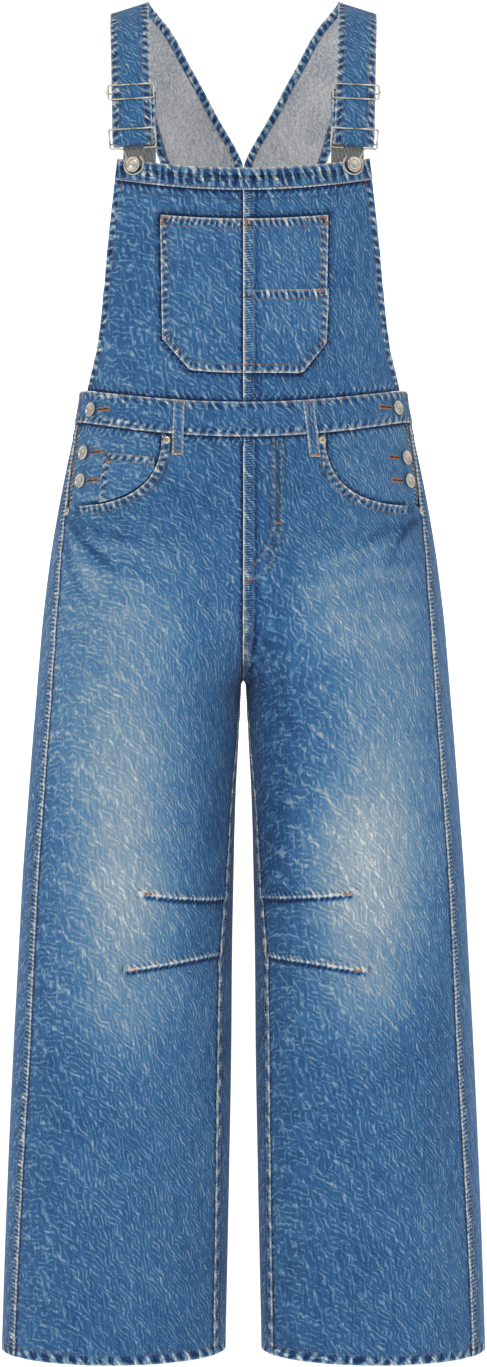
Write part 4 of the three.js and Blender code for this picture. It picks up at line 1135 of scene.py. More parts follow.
def leg_rows(darts):
    blend = BLEND_SHARE * np.array(
        [0, 0.008, 0.02, 0.035, 0.055, 0.08, 0.11, 0.15, 0.2, 0.26, 0.33, 0.41, 0.5, 0.6, 0.7, 0.8, 0.9])
    downs = [BLEND_DOWN]
    while downs[-1] < HEM_DOWN - 22:
        fine = darts and any(low <= downs[-1] < high for low, high in DART_ZONES)
        downs.append(downs[-1] + (DART_STEP if fine else LEG_ROW_STEP))
    downs = [down for down in downs if down < HEM_DOWN - 20]
    hem = [HEM_DOWN - gap for gap in (19, 16.5, 14.5, HEM_HEIGHT + 0.6, HEM_HEIGHT, 11.5, 9.5, 7.5, 5.5, 4, 2.6, 1.5, 0.6, 0)]
    return np.concatenate([blend, share_at_down(np.array(downs + hem, float))])


def hem_inner(points):
    return np.where(-points[..., 2] > HEM_DOWN - HEM_HEIGHT - 0.1, -2 * CLOTH, -CLOTH)


def inside_boxes(boxes):
    """1 inside any of the boxes of x and down on the front, easing to 0 outside."""
    def share(points):
        x, down = points[..., 0], -points[..., 2]
        total = np.zeros(x.shape)
        for low_x, high_x, low, high in boxes:
            inside = (ease(low_x - 5, low_x, x) * (1 - ease(high_x, high_x + 5, x))
                      * ease(low - 5, low, down) * (1 - ease(high, high + 5, down)))
            total = np.maximum(total, inside)
        return total * (points[..., 1] < 0)
    return share


# Seam settings

# The _UNDER settings and DART_SHADOW lay a painted shadow on the cloth beside a raised edge.
SIDE_LAP = {"width": 11.6, "lap": 0.9, "edge": 1.0, "pitch": 4.4, "rows": (2.4, 10.6), "pucker": 0.9, "spread": 0.8}
SIDE_UNDER = {"width": 4, "pucker": 0.3, "shade": 1.0, "pitch": 7}
CENTRE_LAP = {"width": 12, "lap": 0.9, "edge": 1.0, "pitch": 2.6, "rows": (2, 10), "pucker": 0.6, "spread": 1.0}
CENTRE_UNDER = {"width": 4, "pucker": 0.3, "shade": 1.0, "pitch": 6}
INSEAM_LAP = {"width": 8.6, "lap": 0.8, "edge": 0.8, "pitch": 18, "rows": (2.2, 7), "pucker": 0.8, "spread": 1.0}
INSEAM_UNDER = {"width": 3.5, "pucker": 0.45, "shade": 0.8, "pitch": 7}
HEM = {"width": 11, "pitch": 14.5, "edge": 0.7, "rows": (10.5,), "pucker": 1.0, "ripple": 0.5, "spread": 1.1}
WAIST_UNDER = {"width": 5, "pucker": 0.5, "shade": 0.8, "pitch": 7, "spread": 2.4}
POCKET_EDGE = {"width": 10, "pitch": 7, "edge": 1.0, "rows": (2.6, 8.2), "pucker": 0.8, "ripple": 0.45, "spread": 1.2}
TURNED = {"width": 10, "pitch": 9.5, "edge": 0.45, "rows": (8.4,), "pucker": 1.0, "ripple": 0.4, "spread": 1.1}
PATCH_EDGE = {"width": 9.5, "pitch": 8, "edge": 1.0, "rows": (2.2, 8.6), "pucker": 0.75, "ripple": 0.4, "spread": 1.1}
PATCH_UNDER = {"width": 4, "pucker": 0.3, "shade": 1.0, "pitch": 7, "ripple": 0.1, "spread": 2}
PATCH_TOP = {"width": 10.5, "pitch": 6, "edge": 1.0, "rows": (2.2, 10), "pucker": 0.9, "ripple": 0.4, "spread": 1.0}
BAND_EDGE = {"width": 9, "pitch": 10, "edge": 0.9, "rows": (2,), "pucker": 0.8, "ripple": 0.35, "spread": 1.2}
STRAP_EDGE = {"width": 9, "pitch": 9.5, "edge": 0.8, "rows": (1.8, 7.4), "pucker": 1.0, "ripple": 0.35, "spread": 1.2}
LOOP_EDGE = {"width": 2.4, "pitch": 5, "edge": 1.0, "pucker": 0.2, "ripple": 0.1}
DART = {"width": 4, "pitch": 6, "edge": 1.0, "pucker": 0.6, "ripple": 0.3, "spread": 2.2}
DART_SHADOW = {"width": 2, "pucker": 0, "shade": 1.0, "ripple": 0}


def pocket_curve(gap=0.0, count=80):
    """The pocket opening's edge, or a line at a gap from it, on the wearer's left, in x and down."""
    angle = np.linspace(0, math.pi / 2, count)
    power = 2 / POCKET["power"]
    x = POCKET["centre_x"] - (POCKET["reach_x"] + gap) * np.cos(angle) ** power
    down = POCKET["top_down"] + (POCKET["reach_down"] + gap) * np.sin(angle) ** power
    return x, down


DARTS = {
    -1: (((-101, 922), (-60, 927.5), (-22, 930.5), (-12, 928)), ((-117, 999.5), (-70, 993), (-29, 988), (-13, 987.5))),
    1: (((10, 927.5), (20, 929), (60, 926), (110, 921.5)), ((10, 987.5), (24, 989), (70, 993), (121, 1000))),
}
FLY = ((38.5, 458), (38.5, 500), (38.3, 546), (35.5, 566), (29.5, 582), (19.5, 596), (8, 604), (1.5, 606.5))
FLY_INNER = ((31, 458), (31, 500), (30.8, 540), (28.5, 556), (24, 570), (15.5, 582), (6, 590), (1.5, 592))


def lowered(places, shift):
    return [(x, down + shift) for x, down in places]


def on_front(places, count=90):
    """A smooth line on the front through places of x and down."""
    places = np.array(places, float)
    run = run_along(places)
    at = np.linspace(0, run[-1], count)
    table = [{"run": r, "x": x, "down": down} for r, (x, down) in zip(run, places)]
    return front_point(table_curve(table, "run", "x")(at), table_curve(table, "run", "down")(at))


# The cloth

cloth = {}


def piece(key, surface, side=1, **settings):
    cloth[key] = Cloth("denim_" + key, key, surface, side, **settings)


def band_cover(points):
    """1 where the bib's top band lies over the bib."""
    x, down = np.abs(points[..., 0]), -points[..., 2]
    return 1 - ease(BIB_BAND_HEIGHT + 0.5, BIB_BAND_HEIGHT + 3, down - bib_top(x))


def patch_cover(side, top_middle, top_side):
    shape = BIB_POCKET[side]

    def share(points):
        x, down = np.abs(points[..., 0]), -points[..., 2]
        high, low = mix(top_middle, top_side, (x / shape["side_x"]) ** 2), patch_bottom(shape, x)
        return ease(high - 3, high, down) * (1 - ease(low, low + 3, down)) * (1 - ease(
            shape["side_x"], shape["side_x"] + 3, x))
    return share


def most(*shares):
    return lambda points: np.max([share(points) for share in shares], 0)


def round_spots(places, radius):
    """1 round each place of x and down on the front."""
    def share(points):
        x, down = points[..., 0], -points[..., 2]
        total = np.zeros(x.shape)
        for spot in places:
            gap = np.hypot(x - spot["x"], down - spot["down"])
            total = np.maximum(total, 1 - ease(radius, radius + 4, gap))
        return total * (points[..., 1] < 0)
    return share


def loop_cover(face):
    chosen = [loop for loop in LOOPS if loop["face"] == face]

    def share(points):
        x, down = points[..., 0], -points[..., 2]
        total = np.zeros(x.shape)
        for loop in chosen:
            middle = mix(loop["x"], loop["to_x"], np.clip((down - loop["down"]) / 55, 0, 1))
            across = 1 - ease(LOOP_WIDTH / 2, LOOP_WIDTH / 2 + 3, np.abs(x - middle))
            along = ease(loop["down"] - 4, loop["down"], down) * (1 - ease(loop["to_down"], loop["to_down"] + 4, down))
            total = np.maximum(total, across * along)
        return total * ((points[..., 1] < 0) == (face == "front"))
    return share


def strap_inner(points):
    thickness = mix(STRAP_CLOTH, CLOTH, ease(120, 230, -points[..., 2]))
    return -np.where(points[..., 1] > 10, thickness, STRAP_CLOTH)


POCKET_LENGTH, BIB_LENGTH, BAND_LENGTH = 155, 245, 36
FRONT_SPOTS = most(round_spots(RIVETS, 5), loop_cover("front"))
for word, side in SIDES:
    lapped = side > 0
    x, down = pocket_curve()
    opening = body_point(turn_at_x(x, down), down, side)
    fly = [(on_front(places), {"width": 3, "rows": (0,), "pucker": 0.35, "edge": 0.25, "pitch": 7})
           for places in (FLY, FLY_INNER)] if lapped else []
    waist_edge = front_leg(side)(np.linspace(POCKET_END + 0.01, 1, 60), np.zeros(60))
    darts = [(on_front(places), DART) for places in DARTS[side]]
    darts += [(on_front(lowered(places, 3)), DART_SHADOW) for places in DARTS[side]]
    piece("front_leg_" + word, front_leg(side), side, along=leg_rows(True), step=4.6, breaks=(0, POCKET_END, 1),
          inner=hem_inner, covered=FRONT_SPOTS, lines=[
              ("first", SIDE_UNDER), (("last", 0, CROTCH_DOWN), CENTRE_LAP if lapped else CENTRE_UNDER),
              (("last", CROTCH_DOWN, HEM_DOWN), INSEAM_UNDER), ("bottom", HEM), (waist_edge, WAIST_UNDER),
              (opening, POCKET_EDGE), *fly, *darts])
    piece("back_leg_" + word, back_leg(side), side, along=leg_rows(False), step=5, inner=hem_inner,
          covered=loop_cover("back"), lines=[
              ("last", SIDE_LAP), (("first", 0, CROTCH_DOWN), CENTRE_LAP if lapped else CENTRE_UNDER),
              (("first", CROTCH_DOWN, HEM_DOWN), INSEAM_LAP), ("bottom", HEM), ("top", WAIST_UNDER)])
    # The facing's tone of 0.05 paints it lighter, painted light against the shadow it gets sunk below the opening; the
    # line at the opening lays a painted shadow under the pocket's edge.
    piece("hip_facing_" + word, hip_facing(side), side, along=along_piece(105, 4.2), step=4.6,
          inner=lambda points: facing_level(points) - CLOTH, outer=facing_level, tone=0.05,
          covered=round_spots(BUTTONS, 9), lines=[
              ("first", {**TURNED, "pitch": 4.4, "rows": (1.8, 4.8)}), ("top", WAIST_UNDER),
              (opening, {"width": 3, "pucker": 0.2, "shade": 1.0, "ripple": 0})])
    piece("side_placket_" + word, side_placket(side), side, along=along_piece(204, 6), step=6,
          inner=-PLACKET["depth"] - CLOTH, outer=-PLACKET["depth"], tone=-0.06,
          lines=[("first", TURNED), ("last", TURNED)])
    shape = BIB_POCKET[side]
    patch = pocket_patch(side, POCKET_TOP_MIDDLE, shape["top_down"])
    share = np.linspace(0, 1, 60)
    # The patch's outline and a line under the top band lay painted shadow on the bib.
    outline = np.concatenate([patch(1 - share, 0 * share), patch(0 * share, share), patch(share, 0 * share + 1)])
    x = np.linspace(0.5, bib_half(190), 60)
    under_band = body_point(turn_at_x(x, bib_top(x) + BIB_BAND_HEIGHT), bib_top(x) + BIB_BAND_HEIGHT, side)
    pocket_share = patch_cover(side, POCKET_TOP_MIDDLE, BIB_POCKET[side]["top_down"])
    piece("bib_" + word, bib_panel(side), side, along=along_piece(BIB_LENGTH, 4.2), step=4.4,
          covered=most(band_cover, pocket_share), lines=[
              ("first", TURNED), ("last", CENTRE_LAP if lapped else CENTRE_UNDER), ("bottom", WAIST_UNDER),
              (under_band, {**WAIST_UNDER, "shade": 1.0}), (outline, PATCH_UNDER)])
    piece("bib_pocket_" + word, patch, side,
          along=along_piece(POCKET_LENGTH, 4.2), step=4.2, inner=PATCH_GAP, outer=PATCH_GAP + CLOTH,
          covered=patch_cover(1, LOWER_TOP_MIDDLE, LOWER_TOP_SIDE) if lapped else None, tone=0.03, lines=[
              ("first", PATCH_EDGE), ("last", CENTRE_LAP if lapped else CENTRE_UNDER), ("top", PATCH_TOP),
              ("bottom", PATCH_EDGE)])
    piece("back_half_" + word, back_half(side), side, along=along_piece(STRAP_RUN, BACK_ROW_STEP), step=4.6,
          inner=strap_inner, hem_inside=0.9, tone=0.03, lines=[
              ("first", STRAP_EDGE), ("last", STRAP_EDGE), ("top", WAIST_UNDER)])
    # The tail's wrong side takes the darker grey of painted shadow.
    piece("strap_tail_" + word, strap_tail(side), side, along=along_piece(76, 5), step=4.6,
          inner=0.0, outer=CLOTH, materials=("denim_face", "tail_cloth"), lines=[("first", TURNED), ("last", TURNED)])

piece("bib_pocket_lower", pocket_patch(1, LOWER_TOP_MIDDLE, LOWER_TOP_SIDE), along=along_piece(82, 4.2),
      step=4.2, inner=PATCH_GAP + CLOTH + LAYER_GAP, outer=PATCH_GAP + 2 * CLOTH + LAYER_GAP, tone=0.04, lines=[
          ("first", PATCH_EDGE), ("last", CENTRE_LAP), ("top", {**PATCH_TOP, "edge": 0.6}), ("bottom", PATCH_EDGE)])
piece("coin_pocket", coin_pocket, -1, along=along_piece(46, 4), step=4, inner=-COIN["depth"] - CLOTH,
      outer=-COIN["depth"], tone=0.06, lines=[("first", TURNED), ("top", {**TURNED, "width": 8, "rows": (8,)})])
BAND_LINES = [("top", BAND_EDGE), ("bottom", BAND_EDGE)]
piece("waistband_front", front_band, along=along_piece(BAND_LENGTH, 3.4), step=4, outer=BAND_CLOTH - CLOTH,
      covered=most(round_spots(BUTTONS, 9), loop_cover("front")), lines=BAND_LINES + [
          ("first", {**TURNED, "width": 5}), ("last", {**TURNED, "width": 5})])
piece("waistband_back", back_band, along=along_piece(BAND_LENGTH, 3.4), step=4.5, outer=BAND_CLOTH - CLOTH,
      covered=loop_cover("back"), lines=BAND_LINES)
piece("bib_top_band", bib_top_band, along=along_piece(BIB_BAND_HEIGHT, 2.6), step=3.2, inner=LAYER_GAP,
      outer=LAYER_GAP + CLOTH, lines=[
          ("top", {"width": 21, "pitch": 9, "edge": 0.9, "rows": (1.6,), "ripple": 0.4, "spread": 1.2}),
          ("bottom", {"width": 4, "pitch": 5.2, "pucker": 0.3, "edge": 0.9, "rows": (1.8,), "ripple": 0.1})])
for loop in LOOPS:
    level = loop_level(loop)
    piece(loop["name"], belt_loop(loop), along=along_piece(54, 3), step=1.6, fine=False, outer=lambda points,
          level=level: level(points) + CLOTH, inner=level, materials=("denim_face", "denim_face"), lines=[
              ("first", LOOP_EDGE), ("last", LOOP_EDGE), ("top", LOOP_EDGE), ("bottom", LOOP_EDGE)])


# Stitches

def unit(vector):
    return vector / np.linalg.norm(vector)


class Parts:
    """Collects closed shapes into one mesh."""

    def __init__(self):
        self.points, self.faces, self.count = [], [], 0

    def put(self, points, faces):
        self.points.append(np.asarray(points))
        self.faces += [tuple(self.count + i for i in face) for face in faces]
        self.count += len(points)

    def rings(self, rings, close=False):
        """A skin over rings of points. Its ends are closed, or it joins up with itself."""
        count, sides = len(rings), len(rings[0])
        faces = []
        for i in range(count if close else count - 1):
            here, following = i * sides, (i + 1) % count * sides
            for j in range(sides):
                k = (j + 1) % sides
                faces.append((here + j, here + k, following + k, following + j))
        if not close:
            faces.append(tuple(range(sides))[::-1])
            faces.append(tuple((count - 1) * sides + j for j in range(sides)))
        self.put(np.concatenate(rings), faces)

    def tube(self, path, radius, sides=16):
        path = np.asarray(path, float)
        along = np.gradient(path, axis=0)
        along /= np.linalg.norm(along, axis=1, keepdims=True)
        across = unit(np.cross(along[0], (0.31, 0.87, 0.39)))
        angle = np.linspace(0, 2 * math.pi, sides, endpoint=False)[:, None]
        rings = []
        for place, forward in zip(path, along):
            across = unit(across - forward * (across @ forward))
            rings.append(place + radius * (np.cos(angle) * across + np.sin(angle) * np.cross(forward, across)))
        self.rings(rings)

    def lathe(self, profile, seat, out, segments=40):
        """A profile of radius and height, turned about the outward line through its seat."""
        across = unit(np.cross(out, (0, 0, 1)))
        up = np.cross(across, out)
        angle = np.linspace(0, 2 * math.pi, segments, endpoint=False)[:, None]
        spread = np.cos(angle) * across + np.sin(angle) * up
        self.rings([seat + radius * spread + height * out for radius, height in profile])


def add_mesh(name, points, faces, material, node=None):
    """One solid mesh in millimetres, placed in metres."""
    mesh = bpy.data.meshes.new(name)
    mesh.from_pydata((np.asarray(points) * MM).tolist(), [], faces)
    mesh.polygons.foreach_set("use_smooth", np.ones(len(mesh.polygons), bool))
    mesh.materials.append(bpy.data.materials[material])
    mesh.update()
    made = bpy.data.objects.new(name, mesh)
    bpy.context.scene.collection.objects.link(made)
    if node:
        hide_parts(node)
    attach(made, "root")
    return made



STITCH_SIDES = 4
STITCH = {"pitch": 3.5, "length": 2.7, "radius": 0.36, "across": 0.0}


class Thread(Parts):
    """Stitches on cloth, each a small capsule whose middle lies proud of the face."""

    def sew(self, line, **given):
        """Stitches along a line whose rows hold a point and the face's normal. With across set, each
        stitch lies across the line instead, and is that long."""
        setting = {**STITCH, **given}
        run = run_along(line[:, :3])
        pitch, length = setting["pitch"], setting["across"] or setting["length"]
        count = max(1, int(run[-1] / pitch))
        for i in range(count):
            at = (i + 0.5) * run[-1] / count
            here = np.array([np.interp(at, run, line[:, axis]) for axis in range(6)])
            ahead = np.array([np.interp(at + 0.7, run, line[:, axis]) for axis in range(3)])
            behind = np.array([np.interp(at - 0.7, run, line[:, axis]) for axis in range(3)])
            normal = unit(here[3:])
            along = unit(ahead - behind)
            beside = unit(np.cross(normal, along))
            if setting["across"]:
                along, beside = beside, along
            radius = setting["radius"] * (0.9 + 0.2 * math.sin(7.3 * i))
            middle = here[:3] + normal * radius * 0.45
            points = [middle - along * length * 0.5 - normal * radius * 0.7]
            for place in (-0.26, 0.26):
                for turn in range(STITCH_SIDES):
                    angle = 2 * math.pi * turn / STITCH_SIDES
                    points.append(middle + along * length * place
                                  + radius * (math.cos(angle) * beside + math.sin(angle) * normal * 0.85))
            points.append(middle + along * length * 0.5 - normal * radius * 0.7)
            self.put(points, STITCH_FACES)

    def tack(self, line, width=2.2, pitch=0.75):
        """A bartack: close stitches across a short line."""
        self.sew(line, pitch=pitch, across=width, radius=0.42)

    def done(self, name, material):
        add_mesh(name, np.concatenate(self.points), self.faces, material)


def stitch_faces():
    faces, last = [], 2 * STITCH_SIDES + 1
    for j in range(STITCH_SIDES):
        k = (j + 1) % STITCH_SIDES
        faces += [(0, 1 + k, 1 + j), (1 + j, 1 + k, 1 + STITCH_SIDES + k, 1 + STITCH_SIDES + j),
                  (last, 1 + STITCH_SIDES + j, 1 + STITCH_SIDES + k)]
    return faces


STITCH_FACES = stitch_faces()


def on_cloth(key, places):
    """A line laid on a piece: each point goes to the nearest point of its outer face."""
    return np.array([np.concatenate(cloth[key].snap(place)) for place in places])


def front_line(key, *places, count=90):
    return on_cloth(key, on_front(places, count))


def beside(key, where, gap, low=0, high=HEM_DOWN, face="outer"):
    return cloth[key].beside(where, gap, low, high, face)


def bartack(thread, key, start, end, width=2.4):
    thread.tack(front_line(key, start, end, count=14), width)


seams, trims, bands, straps = Thread(), Thread(), Thread(), Thread()
for word, side in SIDES:
    front, back, facing = "front_leg_" + word, "back_leg_" + word, "hip_facing_" + word
    for gap in SIDE_LAP["rows"]:
        seams.sew(beside(back, "last", gap, 540, 1404))
    for gap in POCKET_EDGE["rows"]:
        x, down = pocket_curve(gap)
        inside = down > band_bottom(x) + 2
        places = body_point(turn_at_x(x[inside], down[inside]), down[inside], side)
        trims.sew(on_cloth(front, places), pitch=3.1)
    for gap in INSEAM_LAP["rows"]:
        seams.sew(beside(back, "first", gap, 712, 1404))
    for key in (front, back):
        trims.sew(beside(key, "bottom", 10.5), pitch=4)
    for gap in (1.8, 4.8):
        trims.sew(beside(facing, "first", gap, 440, 522), pitch=3)
    for gap in PATCH_EDGE["rows"]:
        trims.sew(beside("bib_pocket_" + word, "first", gap), pitch=3)
        trims.sew(beside("bib_pocket_" + word, "bottom", gap), pitch=3)
    for gap in PATCH_TOP["rows"]:
        trims.sew(beside("bib_pocket_" + word, "top", gap), pitch=3)
    trims.sew(beside("bib_" + word, "first", 8.4, 190, 420), pitch=3.2)
    for where in ("first", "last"):
        for gap in (1.8, 7.4):
            straps.sew(beside("back_half_" + word, where, gap, -20, 392))
        straps.sew(beside("back_half_" + word, where, 9.2, -20, 392, "inner"), pitch=3)
for gap in (2, 10):
    trims.sew(beside("bib_left", "last", gap, 212, 236), pitch=3)
    trims.sew(beside("bib_left", "last", gap, 395, 422), pitch=3)
    trims.sew(beside("bib_pocket_left", "last", gap, 240, 308), pitch=3)
    trims.sew(beside("bib_pocket_lower", "last", gap), pitch=3)
    trims.sew(beside("front_leg_left", "last", gap, 462, 700), pitch=3)
    seams.sew(beside("back_leg_left", "first", gap, 440, 700), pitch=3)
    trims.sew(beside("bib_pocket_lower", "top", gap - 0.6), pitch=3)
for gap in (1.6, 8.4):
    trims.sew(beside("bib_pocket_lower", "first", gap), pitch=3)
    trims.sew(beside("bib_pocket_lower", "bottom", gap), pitch=3)
for key in ("waistband_front", "waistband_back"):
    for where in ("top", "bottom"):
        bands.sew(beside(key, where, 2), pitch=3.2)
for where in ("first", "last"):
    bands.sew(beside("waistband_front", where, 2.6), pitch=3.2)
for where, gap in (("top", 1.6), ("bottom", 1.8)):
    bands.sew(beside("bib_top_band", where, gap), pitch=3)
for gap in (1.4, 8):
    bands.sew(beside("coin_pocket", "top", gap), pitch=3)
bands.sew(beside("coin_pocket", "first", 1.8), pitch=3)
for places in (FLY, FLY_INNER):
    trims.sew(front_line("front_leg_left", *places, count=160), pitch=3)
for side, lines in DARTS.items():
    for places in lines:
        key = "front_leg_left" if side > 0 else "front_leg_right"
        trims.sew(front_line(key, *lowered(places, -1.8)), pitch=4.4)
for loop in LOOPS:
    for where in ("first", "last"):
        bands.sew(beside(loop["name"], where, 2.2), pitch=3)

tacks = Thread()
for word, side in SIDES:
    key, shape = "bib_pocket_" + word, BIB_POCKET[side]
    bartack(tacks, key, (side * (shape["top_x"] - 2), 235.5), (side * (shape["top_x"] - 9), 235.8))
    bartack(tacks, key, (side * (shape["top_x"] - 2), 236), (side * (shape["top_x"] - 2.6), 245))
bartack(tacks, "bib_pocket_left", (3, 240), (3.2, 249))
bartack(tacks, "bib_pocket_lower", (80, 310.5), (73, 311))
bartack(tacks, "front_leg_left", (38.5, 546), (31, 546))
bartack(tacks, "front_leg_left", (8, 602), (1.5, 606))
bartack(tacks, "coin_pocket", (-141, 480), (-135, 481))
bartack(tacks, "front_leg_right", (-107, 999), (-116, 1000.5))
bartack(tacks, "front_leg_right", (-93, 922.5), (-101, 921.5))
bartack(tacks, "front_leg_left", (101, 922), (110, 921.2))
bartack(tacks, "front_leg_left", (112, 999), (121, 1000.5))
for loop in LOOPS:
    for where in ("top", "bottom"):
        tacks.tack(beside(loop["name"], where, 1.6)[1:-1])

slits = Thread()
HOLE_START, HOLE_END, HOLE_HALF = 6, 16.5, 1.5
for button in BUTTONS:
    x, down, side = button["x"], button["down"], math.copysign(1, button["x"])
    word = "left" if side > 0 else "right"
    key = "waistband_front" if button["on"] == "band" else "hip_facing_" + word
    for shift in (-HOLE_HALF, HOLE_HALF):
        ends = [(x - side * reach, down + shift) for reach in (HOLE_START, HOLE_END)]
        tacks.sew(front_line(key, *ends, count=30), pitch=0.8, across=1.9, radius=0.42)
    close = [(x - side * (HOLE_END + 0.8), down + shift) for shift in (-2 * HOLE_HALF, 2 * HOLE_HALF)]
    tacks.sew(front_line(key, *close, count=20), pitch=0.8, across=1.9, radius=0.42)
    middle = [(x - side * reach, down) for reach in (HOLE_START, HOLE_END)]
    # Each slit is a row of dark capsules of painted shadow.
    slits.sew(front_line(key, *middle, count=30), pitch=1.3, length=2.4, radius=0.55)
slits.done("buttonhole_slits", "recess")

seams.done("stitch_seams", "pale_thread")
trims.done("stitch_trims", "tan_thread")
bands.done("stitch_bands", "tan_thread")
straps.done("stitch_straps", "tan_thread")
tacks.done("stitch_bartacks", "orange_thread")


# Metal

def bent(corners, bend, count=8):
    """A path of straight runs with rounded bends."""
    corners = np.asarray(corners, float)
    path = [corners[0]]
    share = np.linspace(0, 1, count)[:, None]
    for before, corner, after in zip(corners, corners[1:], corners[2:]):
        start, end = (mix(corner, other, min(0.5, bend / np.linalg.norm(other - corner))) for other in (before, after))
        path.extend(mix(mix(start, corner, share), mix(corner, end, share), share))
    path.append(corners[-1])
    return np.array([point for i, point in enumerate(path) if i == 0 or np.linalg.norm(point - path[i - 1]) > 0.02])


def front_seat(x, down):
    """A point of the front and its outward normal."""
    side = 1 if x > 0 else -1
    turn = turn_at_x(abs(x), down)
    over_turn = body_point(turn + 0.01, down, side) - body_point(turn - 0.01, down, side)
    over_down = body_point(turn, down + 1, side) - body_point(turn, down - 1, side)
    return body_point(turn, down, side), unit(np.cross(over_turn, over_down)) * side


def strap_frame(side, down):
    """The middle of a strap's face, and its directions: towards +X, up the strap and outwards."""
    front = strap_table[SHOULDER_ROW:len(STRAP)]
    middle = [{"down": (row["idown"] + row["odown"]) / 2, "run": row["run"]} for row in front]
    run = table_curve(middle, "down", "run")(down)
    origin = strap_point(0.5, run, side)
    up = unit(strap_point(0.5, run - 4, side) - origin)
    out = unit(np.cross(strap_point(0 if side > 0 else 1, run, side) - origin, up))
    return origin, np.array([np.cross(up, out), up, out])


BUTTON_PROFILE = (
    (0.01, 0), (2.6, 0), (2.6, 1.7), (6.6, 1.75), (7.3, 2.2), (7.6, 2.8), (7.5, 3.4), (7.1, 3.9), (6.6, 4.05),
    (6.1, 3.8), (5.7, 3.3), (5.2, 3.05), (4.6, 3.05), (4.2, 3.35), (3.8, 3.35), (3.4, 3), (2.4, 2.85), (1.5, 2.75),
    (1.25, 2.5), (1.1, 2.0), (0.01, 1.95),
)
BIB_BUTTON_PROFILE = (
    (0.01, 0), (4.6, 0), (4, 0.5), (3.4, 1), (3.4, 2.6), (7.2, 2.7), (7.9, 3.1), (8.1, 3.7), (8, 4.3), (7.6, 4.8),
    (7, 4.95), (6.5, 4.7), (6.1, 4.25), (5.5, 4), (4.9, 4), (4.5, 4.3), (4, 4.3), (3.6, 3.95), (2.6, 3.8),
    (1.6, 3.7), (1.35, 3.4), (1.2, 2.9), (0.01, 2.85),
)
RIVET_PROFILE = (
    (0.01, 0), (3.9, 0), (3.95, 0.35), (3.7, 0.75), (3.1, 0.95), (2.5, 0.95), (2, 1.15), (1.6, 1.6), (1.3, 1.95),
    (0.9, 2.08), (0.01, 2.1),
)
PIN_PROFILE = ((0.01, 1.2), (1.85, 1.25), (1.8, 1.5), (1.5, 1.98), (1.0, 2.14), (0.01, 2.16))
WIRE_BEND = 2.5
WIRE_FRONT = WIRE + METAL_GAP


def turned(name, profile, seat, out, material="nickel"):
    made = Parts()
    made.lathe(profile, seat, out)
    add_mesh(name + "_metal", made.points[0], made.faces, material, name)
    return made


SEAT_DEPTH = {"band": BAND_CLOTH - CLOTH + LAYER_GAP, "facing": LAYER_GAP - FACING["depth"]}
for button in BUTTONS:
    seat, out = front_seat(button["x"], button["down"])
    turned(button["name"], BUTTON_PROFILE, seat + out * SEAT_DEPTH[button["on"]], out)
for rivet in RIVETS:
    seat, out = front_seat(rivet["x"], rivet["down"])
    turned(rivet["name"], RIVET_PROFILE, seat + out * METAL_GAP, out)
    pin = Parts()
    pin.lathe(PIN_PROFILE, seat + out * METAL_GAP, out)
    add_mesh(rivet["name"] + "_pin", pin.points[0], pin.faces, "copper")


def slide_buckle(word, side):
    origin, axes = strap_frame(side, SLIDE["down"])
    w, h = SLIDE["half_width"], SLIDE["half_height"]
    rear = -STRAP_CLOTH - WIRE - LAYER_GAP
    made = Parts()
    for sign in (-1, 1):
        frame_path = [(-0.4 * sign, h, WIRE_FRONT), (w * sign, h, WIRE_FRONT), (w * sign, -h, WIRE_FRONT),
                      (-0.4 * sign, -h, WIRE_FRONT)]
        made.tube(bent(frame_path, WIRE_BEND), WIRE)
        knob = (sign * (w + SLIDE["knob_shift"]), 0, WIRE_FRONT - SLIDE["knob_shift"])
        ball = [(max(0.01, SLIDE["knob"] * math.sin(turn)), -SLIDE["knob"] * math.cos(turn))
                for turn in np.linspace(0, math.pi, 12)]
        made.lathe(ball, np.array(knob), np.array([1.0, 0, 0]), 20)
    bar = [(-w, 0, WIRE_FRONT), (-w, 0, rear), (w, 0, rear), (w, 0, WIRE_FRONT)]
    made.tube(bent(bar, WIRE_BEND), HOOK["lower_bar"])
    add_mesh("slide_wire_" + word, np.concatenate(made.points) @ axes + origin, made.faces, "nickel",
             "slide_" + word)


def hook_buckle(word, side):
    origin, axes = strap_frame(side, HOOK["bar_down"])

    def local(point):
        return (point - origin) @ axes.T

    def ring_point(x, up):
        seat, out = front_seat(side * BIB_BUTTON_X + x, BIB_BUTTON_DOWN - up)
        return local(seat + out * (LAYER_GAP + CLOTH + LAYER_GAP + WIRE))

    def in_fold(u):
        return local(strap_point(u, FOLD_RUN, side) + (0, FOLD_RADIUS, 0))
    _, fold_y, fold_z = in_fold(0.5)
    w, foot = HOOK["half_width"], fold_y - HOOK["foot_drop"]
    made = Parts()
    for sign in (-1, 1):
        ring = [ring_point(sign * HOOK["ring"] * math.cos(turn), HOOK["ring"] * math.sin(turn))
                for turn in np.linspace(math.asin(HOOK["neck_rise"] / HOOK["ring"]), -math.pi / 2 - 0.08, 12)]
        corners = [(-0.4 * sign, 0, WIRE_FRONT), (w * sign, 0, WIRE_FRONT), (w * sign, -HOOK["side_drop"], WIRE_FRONT),
                   (w * sign, fold_y + HOOK["foot_rise"], fold_z), (w * sign, foot, fold_z),
                   (HOOK["shoulder_x"] * sign, foot, fold_z), *ring]
        made.tube(bent(corners, WIRE_BEND), WIRE)
    past = HOOK["bar_past"]
    made.tube([in_fold(u) for u in np.linspace(-past, 1 + past, 9)], HOOK["lower_bar"])
    add_mesh("hook_wire_" + word, np.concatenate(made.points) @ axes + origin, made.faces, "nickel",
             "hook_" + word)


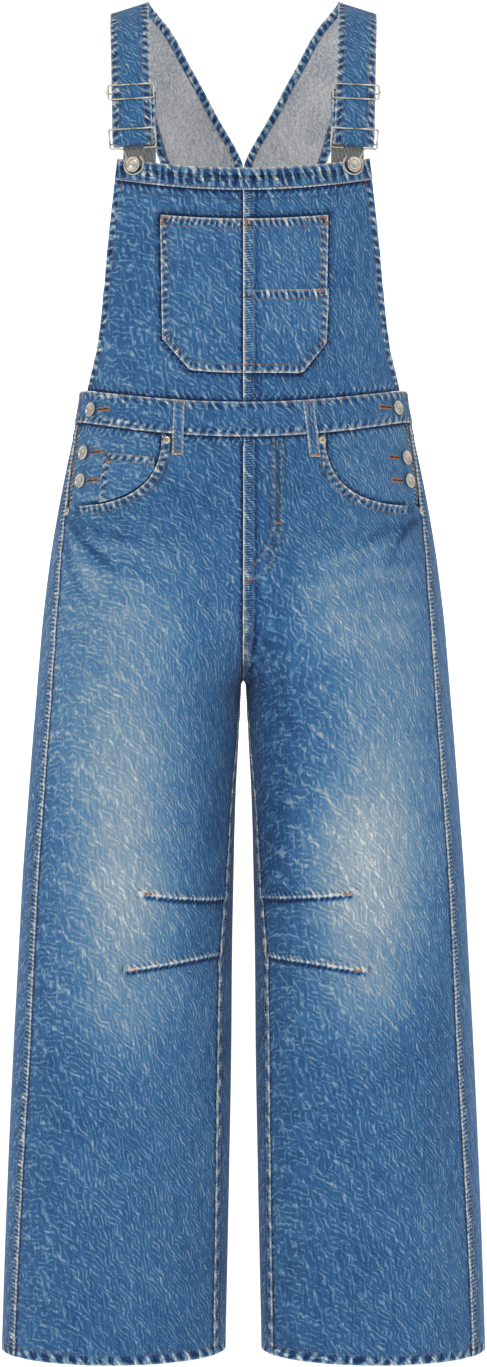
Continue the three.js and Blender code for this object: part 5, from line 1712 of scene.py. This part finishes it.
for word, side in SIDES:
    seat, out = front_seat(side * BIB_BUTTON_X, BIB_BUTTON_DOWN)
    turned("bib_button_" + word, BIB_BUTTON_PROFILE, seat + out * (LAYER_GAP + CLOTH + LAYER_GAP), out)
    slide_buckle(word, side)
    hook_buckle(word, side)


# Studio

def flat_mesh(name, points, faces):
    mesh = bpy.data.meshes.new(name)
    mesh.from_pydata(points, [], faces)
    mesh.materials.append(bpy.data.materials["studio"])
    mesh.polygons.foreach_set("use_smooth", np.ones(len(mesh.polygons), bool))
    made = bpy.data.objects.new(name, mesh)
    bpy.context.scene.collection.objects.link(made)
    return made


FLOOR_Z, WALL_Y, WALL_TOP = -1.47, 12.0, 9.0
REACH = 14.0
CORNER_RADIUS = 0.6
profile = [(-REACH, FLOOR_Z), (WALL_Y - CORNER_RADIUS, FLOOR_Z)]
profile += [(WALL_Y - CORNER_RADIUS + CORNER_RADIUS * math.sin(turn), FLOOR_Z + CORNER_RADIUS * (1 - math.cos(turn)))
            for turn in np.linspace(0.1, math.pi / 2, 14)]
profile.append((WALL_Y, WALL_TOP))
sweep_points = [(x, y, z) for x in (-REACH, REACH) for y, z in profile]
sweep_faces = [(i, i + 1, len(profile) + i + 1, len(profile) + i) for i in range(len(profile) - 1)]
flat_mesh("studio_sweep", sweep_points, sweep_faces)


def area_light(name, place, aim, size, power):
    light = bpy.data.lights.new(name, "AREA")
    light.shape, light.size, light.size_y, light.energy = "RECTANGLE", size[0], size[1], power
    made = bpy.data.objects.new(name, light)
    made.location = place
    made.rotation_euler = (Vector(aim) - Vector(place)).to_track_quat("-Z", "Y").to_euler()
    bpy.context.scene.collection.objects.link(made)


area_light("key", (-1.7, -2.9, 1.9), (0, 0, -0.6), (1.2, 1.2), 26)
area_light("fill", (2.4, -3.0, -0.2), (0, 0, -0.7), (2.0, 2.4), 8)
area_light("top", (0, -0.2, 2.2), (0, 0, -0.2), (1.6, 1.6), 5)

world = bpy.data.worlds.new("studio_world")
world.use_nodes = True
world.node_tree.nodes["Background"].inputs["Color"].default_value = (1, 1, 1, 1)
world.node_tree.nodes["Background"].inputs["Strength"].default_value = 0.6
scene = bpy.context.scene
scene.world = world
scene.view_settings.view_transform = "Standard"

lens = bpy.data.cameras.new("camera")
lens.lens, lens.sensor_width, lens.sensor_fit = 75.24, 36, "AUTO"
camera = bpy.data.objects.new("camera", lens)
camera.location, camera.rotation_euler = (0, -3, -0.708), (math.pi / 2, 0, 0)
scene.collection.objects.link(camera)
scene.camera = camera
